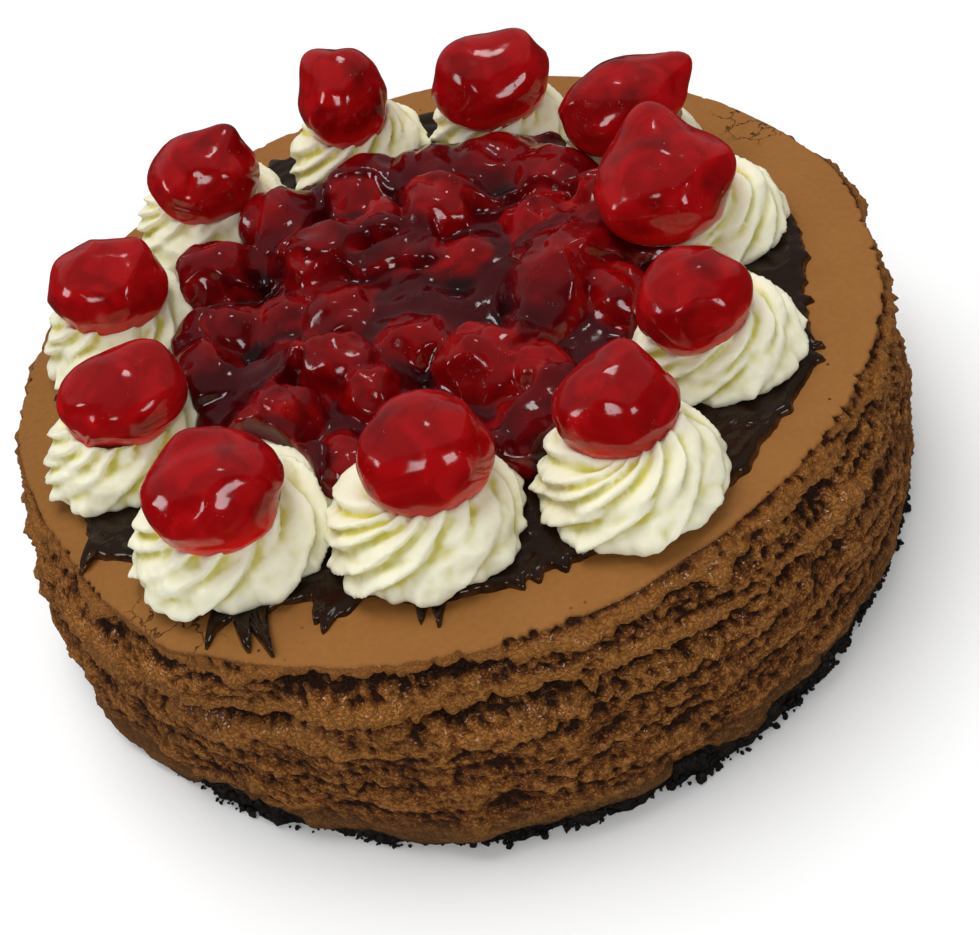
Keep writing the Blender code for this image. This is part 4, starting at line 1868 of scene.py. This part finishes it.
    def shaped(self, skin: np.ndarray) -> np.ndarray:
        """Ruffles the cream, sets its foot down, and presses the cherry into it.

        Args:
            skin: Points about the swirl's own middle.

        Returns:
            Points in the frame.
        """
        ruffle = 0.30 * MM * waves(skin, 3.6 * MM, 2, 300 + self.number)
        ruffle += 0.7 * MM * waves(skin, 9.0 * MM, 1, 315 + self.number)
        radial = np.hypot(skin[:, 0], skin[:, 1]) + 1e-6
        foot = smoothstep(5.0 * MM, 0.5 * MM, skin[:, 2])
        foot = foot * smoothstep(0.7 * self.half, 0.9 * self.half, radial)
        flat = skin * LEVEL
        spread = foot * (1.9 * MM + 1.3 * MM * waves(flat, 5.0 * MM, 2, 330 + self.number))
        spread += 0.6 * MM * foot * waves(flat, 2.6 * MM, 1, 345 + self.number)
        scale = 1.0 + (ruffle + spread) / radial
        skin = skin * np.stack([scale, scale, np.ones(len(skin))], axis=1)
        skin[:, 2] = np.maximum(skin[:, 2], -0.6 * MM) + 0.25 * ruffle
        skin = skin + self.middle
        depth = self.cherry.depth(skin)
        inside = depth < self.hollow
        centre = self.cherry.middle
        pushed = centre + (skin - centre) * (self.hollow / np.maximum(depth, 0.05))[:, None]
        skin = np.where(inside[:, None], pushed, skin)
        high = smoothstep(0.45, 0.9, (skin[:, 2] - TOPPING_BOTTOM) / self.height)
        rim = np.exp(-(((depth - 1.06) / 0.09) ** 2)) * high
        skin[:, 2] += 0.9 * MM * rim * ~inside
        return skin


@dataclass
class Filling:
    """A heap of cherries under a sheet of dark gel, in the middle of the ring."""

    pitch: float = 0.85 * MM
    radius: float = 69.0 * MM
    edge: float = 6.2 * MM
    rise: float = 5.4 * MM
    sheet: float = 1.3 * MM
    seed: int = 5
    # The box in mm that the heap is worked out in
    low: Place = (-70.0, -70.0, 57.6)
    high: Place = (70.0, 70.0, 80.0)
    # How wide the fillets are between bare cherries and gel, and under a sheet of gel
    fillet: float = 2.6 * MM
    sheet_fillet: float = 8.0 * MM
    # Place and radius of each cherry in mm, and how far it stands out of the gel
    cherries: tuple[tuple[float, float, float, float], ...] = (
        (-32.6, 41.2, 10.2, 0.84), (-50.3, 28.3, 10.4, 0.80), (-49.2, 5.4, 9.4, 0.55),
        (-54.5, -10.5, 8.2, 0.62), (-20.9, 17.4, 11.8, 0.62), (-5.7, 23.4, 7.8, 0.86),
        (9.4, 21.7, 9.6, 0.88), (-9.3, 47.0, 10.0, 0.46), (-20.2, -5.0, 9.6, 0.52),
        (-23.7, -23.2, 9.0, 0.82), (-18.1, -34.6, 6.8, 0.74), (-39.4, -38.1, 10.4, 0.84),
        (7.7, -36.5, 11.0, 0.66), (19.3, -45.3, 8.0, 0.72), (13.8, -56.0, 8.0, 0.50),
        (32.8, -16.5, 12.0, 0.56), (42.4, -27.0, 9.6, 0.60), (31.6, 9.6, 10.4, 0.48),
        (49.3, 2.5, 10.4, 0.96), (3.0, -60.0, 8.2, 0.35), (-28.2, -50.0, 8.6, 0.30),
        (9.9, 3.1, 9.4, 0.22), (10.6, 42.0, 9.8, 0.34), (25.9, 38.2, 9.8, 0.46),
        (38.8, 25.5, 9.6, 0.60), (-5.8, -20.6, 8.8, 0.20), (-36.0, -14.0, 9.0, 0.12),
        (-34.0, 3.0, 8.6, 0.24), (-3.0, 8.5, 8.6, 0.20),
    )
    # Place, radius and depth in mm of each pit between cherries
    pits: tuple[tuple[float, float, float, float], ...] = (
        (-38.5, 20.5, 5.5, 4.0), (-14.5, -44.0, 5.0, 4.5), (-5.5, -32.0, 5.0, 4.0),
        (8.5, -5.5, 6.0, 3.0), (14.5, -21.5, 6.0, 3.0), (-44.0, -5.0, 5.0, 2.5),
        (14.0, -68.0, 6.0, 4.0), (26.0, 22.0, 6.0, 2.0), (-32.0, -30.0, 5.0, 2.5),
    )
    rosettes: list[Rosette] = field(default_factory=list)

    def mound(self, x: np.ndarray, y: np.ndarray) -> np.ndarray:
        """The gel's height over the fudge.

        Args:
            x: Across.
            y: Back.

        Returns:
            The height at each place.
        """
        share = np.clip(np.hypot(x, y) / self.radius, 0.0, 1.0)
        spots = self.level_spots(x, y)
        ripples = 1.6 * MM * waves(spots, 19.0 * MM, 2, 400) + 0.5 * MM * waves(spots, 6.0 * MM, 2, 401)
        height = self.edge + self.rise * (1.0 - share * share) + ripples.reshape(x.shape)
        for across, back, radius, depth in self.pits:
            away = np.hypot(x - across * MM, y - back * MM) / (radius * MM)
            height = height - depth * MM * np.exp(-away * away)
        return height

    def level_spots(self, x: np.ndarray, y: np.ndarray) -> np.ndarray:
        """The grid's places at height 0, one row of three each."""
        return np.stack([x.ravel(), y.ravel(), 0.0 * x.ravel()], axis=1)

    def draped(self, x: np.ndarray, y: np.ndarray) -> np.ndarray:
        """Where a thick sheet of gel hangs over the cherries.

        Args:
            x: Across.
            y: Back.

        Returns:
            0 outside the sheets to 1 inside them, with a crisp edge.
        """
        spots = self.level_spots(x, y)
        bends = [waves(spots, 14.0 * MM, 2, 405), waves(spots, 14.0 * MM, 2, 406), 0.0 * spots[:, 0]]
        bent = spots + 4.0 * MM * np.stack(bends, axis=1)
        amount = waves(bent * (0.8, 1.2, 1.0), 27.0 * MM, 2, 403)
        amount += 0.05 * smoothstep(-25.0 * MM, 30.0 * MM, spots[:, 0] + 0.6 * spots[:, 1]) - 0.12
        return smoothstep(-0.02, 0.09, amount).reshape(x.shape)

    def plan_gap(self, x: np.ndarray, y: np.ndarray) -> np.ndarray:
        """How far the filling's outer edge is, from inside.

        Args:
            x: Across.
            y: Back.

        Returns:
            Below zero inside the edge.
        """
        spots = self.level_spots(x, y)
        wavy = (1.6 * MM * waves(spots, 22.0 * MM, 2, 402)).reshape(x.shape)
        gap = np.hypot(x, y) - (self.radius - 1.5 * MM) + wavy
        for rosette in self.rosettes:
            away = rosette.half - 1.2 * MM - np.hypot(x - rosette.middle[0], y - rosette.middle[1])
            gap = np.maximum(gap, away)
        return gap

    def fruit(self, axes: list[np.ndarray], gel: np.ndarray, plan: np.ndarray) -> np.ndarray:
        """How far each place of the grid is from the nearest cherry.

        Args:
            axes: The grid's coordinates along x, y and z.
            gel: The gel's height on the grid.
            plan: How far inside the filling's outer edge each place is.

        Returns:
            The distances, below zero inside a cherry.
        """
        fruit = np.full([len(axis) for axis in axes], FAR, np.float32)
        random = np.random.default_rng(self.seed)
        for number, (across, back, radius, shows) in enumerate(self.cherries):
            cherry = (across * MM, back * MM, radius * MM, shows)
            self.add_cherry(fruit, axes, gel, cherry, number, random)
        return np.maximum(fruit, plan[:, :, None] - 1.5 * MM)

    def joined(
        self, height: np.ndarray, gel: np.ndarray, plan: np.ndarray, sheet: np.ndarray,
        fruit: np.ndarray,
    ) -> np.ndarray:
        """The heap: cherries and gel with fillets, and thicker gel under the sheets.

        Args:
            height: The grid's heights.
            gel: The gel's height.
            plan: How far inside the filling's outer edge each place is.
            sheet: Where the sheets of gel hang.
            fruit: Distances to the cherries.

        Returns:
            Distances to the heap's surface, below zero inside.
        """
        inward = np.clip(1.0 + plan / (5.0 * MM), 0.0, 1.0)
        shore = 3.0 * MM * (1.0 - np.sqrt(np.clip(1.0 - inward**2, 0.0, 1.0)))
        level = gel - shore - 1.8 * MM * (1.0 - sheet)
        heap = np.maximum(0.75 * (height - level[:, :, None]), plan[:, :, None])
        bare = smooth_least(heap, fruit, self.fillet)
        veiled = smooth_least(heap, fruit - 0.4 * self.sheet, self.sheet_fillet) - 0.6 * self.sheet
        joined = bare + (veiled - bare) * sheet[:, :, None]
        joined = np.maximum(joined, plan[:, :, None])
        return np.maximum(joined, FUDGE_BOTTOM + 1.2 * MM - height)

    def marks(
        self, points: np.ndarray, above: np.ndarray, over: np.ndarray, sunk: np.ndarray
    ) -> Marks:
        """What the gel's finish reads at each point.

        Args:
            points: The heap's points.
            above: How far each lies over the cherries.
            over: How much each belongs to a sheet of gel.
            sunk: How far each lies over the plain gel, below zero under it.

        Returns:
            How much gel covers the fruit, how thin the gel is, and the painted shade of the pits.
        """
        deep = above + 0.5 * MM * waves(points, 6.0 * MM, 2, 411)
        veil = 0.10 + 0.30 * smoothstep(0.0, 0.6, waves(points, 15.0 * MM, 2, 412))
        veil += 0.24 * smoothstep(10.0 * MM, -45.0 * MM, points[:, 0])
        cover = np.maximum(0.93 * smoothstep(-0.2 * MM, 1.6 * MM, deep), veil)
        under = 0.28 + 0.60 * smoothstep(0.3 * MM, 3.6 * MM, deep)
        under += 0.30 * waves(points, 19.0 * MM, 2, 414)
        under -= 0.18 * smoothstep(5.0 * MM, 45.0 * MM, points[:, 0])
        cover = cover + (np.clip(under, 0.18, 0.95) - cover) * over
        # Painted shade: darker where the surface dips well below the gel, and near black in the pits
        cover = np.maximum(cover, smoothstep(-1.5 * MM, -4.0 * MM, sunk))
        pit = smoothstep(-2.6 * MM, -4.6 * MM, sunk)
        for across, back, radius, _ in self.pits:
            away = np.hypot(points[:, 0] - across * MM, points[:, 1] - back * MM) / (radius * MM)
            pit = np.maximum(pit, smoothstep(0.85, 0.25, away) * smoothstep(-0.2 * MM, 1.2 * MM, deep))
        edge = (4.0 * over * (1.0 - over)) ** 2 * smoothstep(0.0, 0.4, waves(points, 12.0 * MM, 1, 415))
        return {"cover": cover, "thin": 0.22 * edge, "pit": 0.9 * pit}

    def build(self, finish: Material) -> Piece:
        """Builds the heap.

        Args:
            finish: Its material.

        Returns:
            The piece.
        """
        low = np.array(self.low) * MM
        high = np.array(self.high) * MM
        counts = np.ceil((high - low) / self.pitch).astype(int)
        axes = [low[axis] + self.pitch * np.arange(counts[axis]) for axis in range(3)]
        x, y = np.meshgrid(axes[0], axes[1], indexing="ij")
        gel = TOPPING_BOTTOM + self.mound(x, y)
        plan = self.plan_gap(x, y)
        sheet = self.draped(x, y)
        fruit = self.fruit(axes, gel, plan)
        joined = self.joined(axes[2][None, None, :], gel, plan, sheet, fruit)
        points, quads = skin_of(joined, low, self.pitch)
        spot = (points - low) / self.pitch
        above = between(fruit, spot)
        over = between(sheet[:, :, None], spot * LEVEL)
        sunk = points[:, 2] - between(gel[:, :, None], spot * LEVEL)
        points[:, 2] += (
            0.16 * MM * waves(points, 4.5 * MM, 2, 410) + 0.22 * MM * waves(points, 9.0 * MM, 1, 413)
        )
        piece = new_piece("cherry_heap", points, quads, self.marks(points, above, over, sunk))
        soften(piece, 0.5, 2)
        settle(piece, finish, Slot.FILLING, "cherry_filling")
        return piece

    def add_cherry(
        self, fruit: np.ndarray, axes: list, gel: np.ndarray, cherry: tuple, number: int,
        random: np.random.Generator,
    ) -> None:
        """Adds one cherry to the field of fruit.

        Args:
            fruit: The field, changed in place.
            axes: The grid's coordinates along x, y and z.
            gel: The gel's height on the grid.
            cherry: Its place and radius in metres, and how far it stands out.
            number: Its number, which seeds its wrinkles.
            random: Where its lean comes from.
        """
        cx, cy, size, shows = cherry
        column = int(round((cx - axes[0][0]) / self.pitch))
        row = int(round((cy - axes[1][0]) / self.pitch))
        centre = np.array([cx, cy, gel[column, row] + size * (shows - 0.9)])
        reach = 1.45 * size
        window = [
            slice(*np.searchsorted(axes[k], (centre[k] - reach, centre[k] + reach)))
            for k in range(3)
        ]
        x, y, z = np.meshgrid(*(axes[k][window[k]] for k in range(3)), indexing="ij")
        spots = np.stack([x.ravel(), y.ravel(), z.ravel()], axis=1) - centre
        lean = Matrix.Rotation(random.uniform(0.0, TAU), 3, "Z")
        lean = lean @ Matrix.Rotation(random.uniform(-0.5, 0.5), 3, "X")
        local = spots @ np.array(lean)
        spans = ((1.00, 1.20), (0.82, 0.96), (0.84, 0.96))
        sizes = size * np.array([random.uniform(*span) for span in spans])
        stretch = np.linalg.norm(local / sizes, axis=1)
        distance = (stretch - 1.0) * sizes.min()
        distance += 0.10 * size * waves(local / size, 1.1, 2, 420 + number)
        folds = waves(local / size, 0.9, 1, 460 + number)
        distance += 0.16 * size * (np.sqrt(folds * folds + 0.003) - 0.2)
        crease = np.exp(-((local[:, 1] / (0.16 * size)) ** 2)) * smoothstep(0.2, 0.9, local[:, 2] / size)
        distance += 0.14 * size * crease * random.uniform(0.0, 1.0)
        block = fruit[window[0], window[1], window[2]]
        fruit[window[0], window[1], window[2]] = smooth_least(block, distance.reshape(x.shape), 0.9 * MM)


@dataclass(frozen=True)
class Lamp:
    """A square lamp aimed at the cake."""

    name: str
    # Its direction from the cake, its distance and the length of its side
    towards: Place
    distance: float
    size: float
    # In watts
    power: float
    # Whether it is only seen in gloss, or only lights surfaces
    gloss: bool

    def build(self) -> None:
        """Adds the lamp to the scene."""
        data = bpy.data.lights.new(self.name, "AREA")
        data.shape = "SQUARE"
        data.size = self.size
        data.energy = self.power
        lamp = bpy.data.objects.new(self.name, data)
        way = Vector(self.towards).normalized()
        lamp.location = way * self.distance + Vector((0.0, 0.0, 0.06))
        lamp.rotation_euler = way.to_track_quat("Z", "Y").to_euler()
        lamp.visible_glossy = self.gloss
        lamp.visible_diffuse = not self.gloss
        lamp.visible_camera = False
        bpy.context.scene.collection.objects.link(lamp)


@dataclass
class Studio:
    """A plain pale floor, soft light, and the camera."""

    place: Place = (0.0, -0.29361, 0.28231)
    pitch: float = 43.80
    yaw: float = -0.567
    roll: float = -16.64
    focal_pixels: float = 1500.0
    frame_width: float = 980.0
    sensor: float = 36.0
    surround: float = 0.42
    floor_radius: float = 1.0
    floor_sides: int = 128
    ceiling_way: Place = (0.05, 0.50, 0.865)
    lamps: tuple[Lamp, ...] = (
        Lamp("soft_top", (-0.15, 0.25, 1.0), 1.5, 1.1, 17.0, False),
        Lamp("soft_front", (-0.10, -1.0, 0.9), 1.6, 0.9, 4.6, False),
        Lamp("window_right", (0.48, -0.81, 0.36), 1.4, 0.40, 5.0, True),
        Lamp("window_front", (-0.34, -0.78, 0.55), 1.4, 0.34, 3.6, True),
        Lamp("window_left", (-0.90, -0.10, 0.45), 1.4, 0.36, 4.0, True),
        Lamp("ceiling_back", (0.25, 0.35, 1.0), 1.6, 0.26, 2.4, True),
    )

    def camera(self) -> None:
        """Sets the camera where the photograph was taken from."""
        data = bpy.data.cameras.new("view")
        data.sensor_fit = "HORIZONTAL"
        data.sensor_width = self.sensor
        data.lens = self.sensor * self.focal_pixels / self.frame_width
        data.clip_start = 0.01
        camera = bpy.data.objects.new("view", data)
        turned = Matrix.Rotation(math.radians(self.yaw), 4, "Z")
        turned = turned @ Matrix.Rotation(math.radians(90.0 - self.pitch), 4, "X")
        turned = turned @ Matrix.Rotation(math.radians(self.roll), 4, "Z")
        camera.matrix_world = Matrix.Translation(self.place) @ turned
        bpy.context.scene.collection.objects.link(camera)
        bpy.context.scene.camera = camera

    def world(self) -> None:
        """A pale surround that is dimmer in gloss."""
        world = bpy.data.worlds.new("studio")
        world.use_nodes = True
        bpy.context.scene.world = world
        wiring = Wiring(world.node_tree)
        path = wiring.node("ShaderNodeLightPath")
        way = wiring.node("ShaderNodeTexCoord").outputs["Generated"]
        lean = wiring.vectors("DOT_PRODUCT", way, self.ceiling_way).outputs["Value"]
        ceiling = wiring.step(lean, 0.34, 0.50, (0.03, 0.26))
        seen = wiring.maths("SUBTRACT", ceiling, self.surround)
        strength = wiring.maths("MULTIPLY_ADD", path.outputs["Is Glossy Ray"], seen, self.surround)
        to_white = 1.0 - self.surround
        strength = wiring.maths("MULTIPLY_ADD", path.outputs["Is Camera Ray"], to_white, strength)
        looks = {"Color": (1.0, 1.0, 1.0), "Strength": strength}
        wiring.feed_all(world.node_tree.nodes["Background"], looks)

    def build(self) -> None:
        """Builds the floor, the lamps, the surround and the camera."""
        rim = around(circle_steps(self.floor_sides), self.floor_radius)
        floor = new_piece("studio_floor", rim, [tuple(range(self.floor_sides))])
        floor.data.materials.append(FloorFinish().material())
        floor.visible_glossy = False
        for lamp in self.lamps:
            lamp.build()
        self.world()
        self.camera()
        bpy.context.scene.view_settings.view_transform = "Standard"


# Place, half-length, half-width and half-height in mm, azimuth of the length, and bumps
CHERRY_SHAPES = (
    (-74.0, 21.0, 15.0, 12.6, 11.8, -8.0, (Nub(150.0, 42.0, 0.16, 24.0), Nub(30.0, 40.0, 0.07, 28.0))),
    (-46.5, 57.5, 14.6, 13.4, 11.8, 12.0, (Nub(15.0, 52.0, 0.22, 19.0), Nub(150.0, 10.0, 0.09, 34.0))),
    (-6.0, 71.0, 12.2, 13.6, 14.2, 0.0, (Nub(140.0, 60.0, 0.20, 24.0), Nub(-20.0, 50.0, 0.10, 26.0))),
    (33.0, 60.3, 16.2, 13.8, 12.8, 4.0, (Nub(170.0, 55.0, 0.12, 22.0), Nub(20.0, 55.0, 0.16, 22.0))),
    (62.2, 31.8, 17.6, 12.8, 11.8, 8.0, (Nub(5.0, 26.0, 0.36, 20.0), Nub(180.0, 45.0, 0.08, 26.0))),
    (60.0, -7.2, 16.8, 15.8, 13.6, 30.0, (
        Nub(84.0, 52.0, 0.42, 22.0), Nub(-12.0, 8.0, 0.12, 30.0), Nub(205.0, -4.0, 0.16, 30.0),
    )),
    (54.2, -47.8, 12.8, 12.0, 11.0, 20.0, (Nub(100.0, 50.0, 0.12, 26.0), Nub(-30.0, 25.0, 0.10, 30.0))),
    (30.2, -72.0, 13.2, 12.2, 11.0, -10.0, (Nub(60.0, 54.0, 0.18, 16.0), Nub(200.0, 30.0, 0.06, 30.0))),
    (-9.6, -71.4, 14.2, 13.2, 12.4, 0.0, (Nub(75.0, 55.0, 0.10, 24.0), Nub(205.0, 20.0, 0.05, 30.0))),
    (-53.4, -62.6, 14.8, 13.8, 11.9, 25.0, (Nub(110.0, 58.0, 0.16, 20.0), Nub(190.0, 20.0, 0.08, 30.0))),
    (-72.0, -22.0, 14.8, 12.8, 10.3, 6.0, (Nub(35.0, 45.0, 0.22, 28.0), Nub(160.0, 40.0, 0.10, 30.0))),
)
# Azimuth in degrees where each swirl's rope starts and where it runs smooth, its width, and how
# far in mm it sits from its node's middle
ROSETTE_SHAPES = (
    (40.0, 260.0, 1.0, (0.6, 0.0)),
    (70.0, 240.0, 1.0, (0.0, 0.0)),
    (110.0, 300.0, 1.0, (0.0, 0.0)),
    (60.0, 330.0, 1.0, (0.0, 0.0)),
    (90.0, 345.0, 1.0, (0.0, 0.0)),
    (130.0, 350.0, 0.91, (-1.2, 2.2)),
    (150.0, 300.0, 0.94, (-1.2, 0.0)),
    (110.0, 345.0, 0.93, (0.0, -2.2)),
    (75.0, 320.0, 1.02, (0.4, -1.0)),
    (60.0, 220.0, 1.03, (2.8, 1.2)),
    (30.0, 235.0, 0.98, (1.2, 0.0)),
)


def main() -> None:
    """Builds the cake from its crust up, then the studio."""
    logging.basicConfig(level=logging.INFO, format="%(name)s: %(message)s")
    Crust().build(CrustFinish().material())
    Cheesecake().build(CakeFinish().material())
    Fudge().build(FudgeFinish().material())
    cherry_finish = GelFinish("cherry in gel").material()
    cream_finish = CreamFinish().material()
    rosettes = []
    for number, (shape, swirl) in enumerate(zip(CHERRY_SHAPES, ROSETTE_SHAPES), 1):
        cherry = Cherry(number, *shape)
        cherry.build(cherry_finish)
        rosette = Rosette(number, cherry, *swirl)
        rosette.build(cream_finish)
        rosettes.append(rosette)
    dark_gel = GelFinish(
        "cherries in dark gel",
        fruit=(0.31, 0.0022, 0.0032),
        fruit_deep=(0.20, 0.0010, 0.0016),
        gel_deep=(0.034, 0.0008, 0.0022),
        glow=1.6 * MM,
    )
    Filling(rosettes=rosettes).build(dark_gel.material())
    Studio().build()


if __name__ == "__main__":
    main()
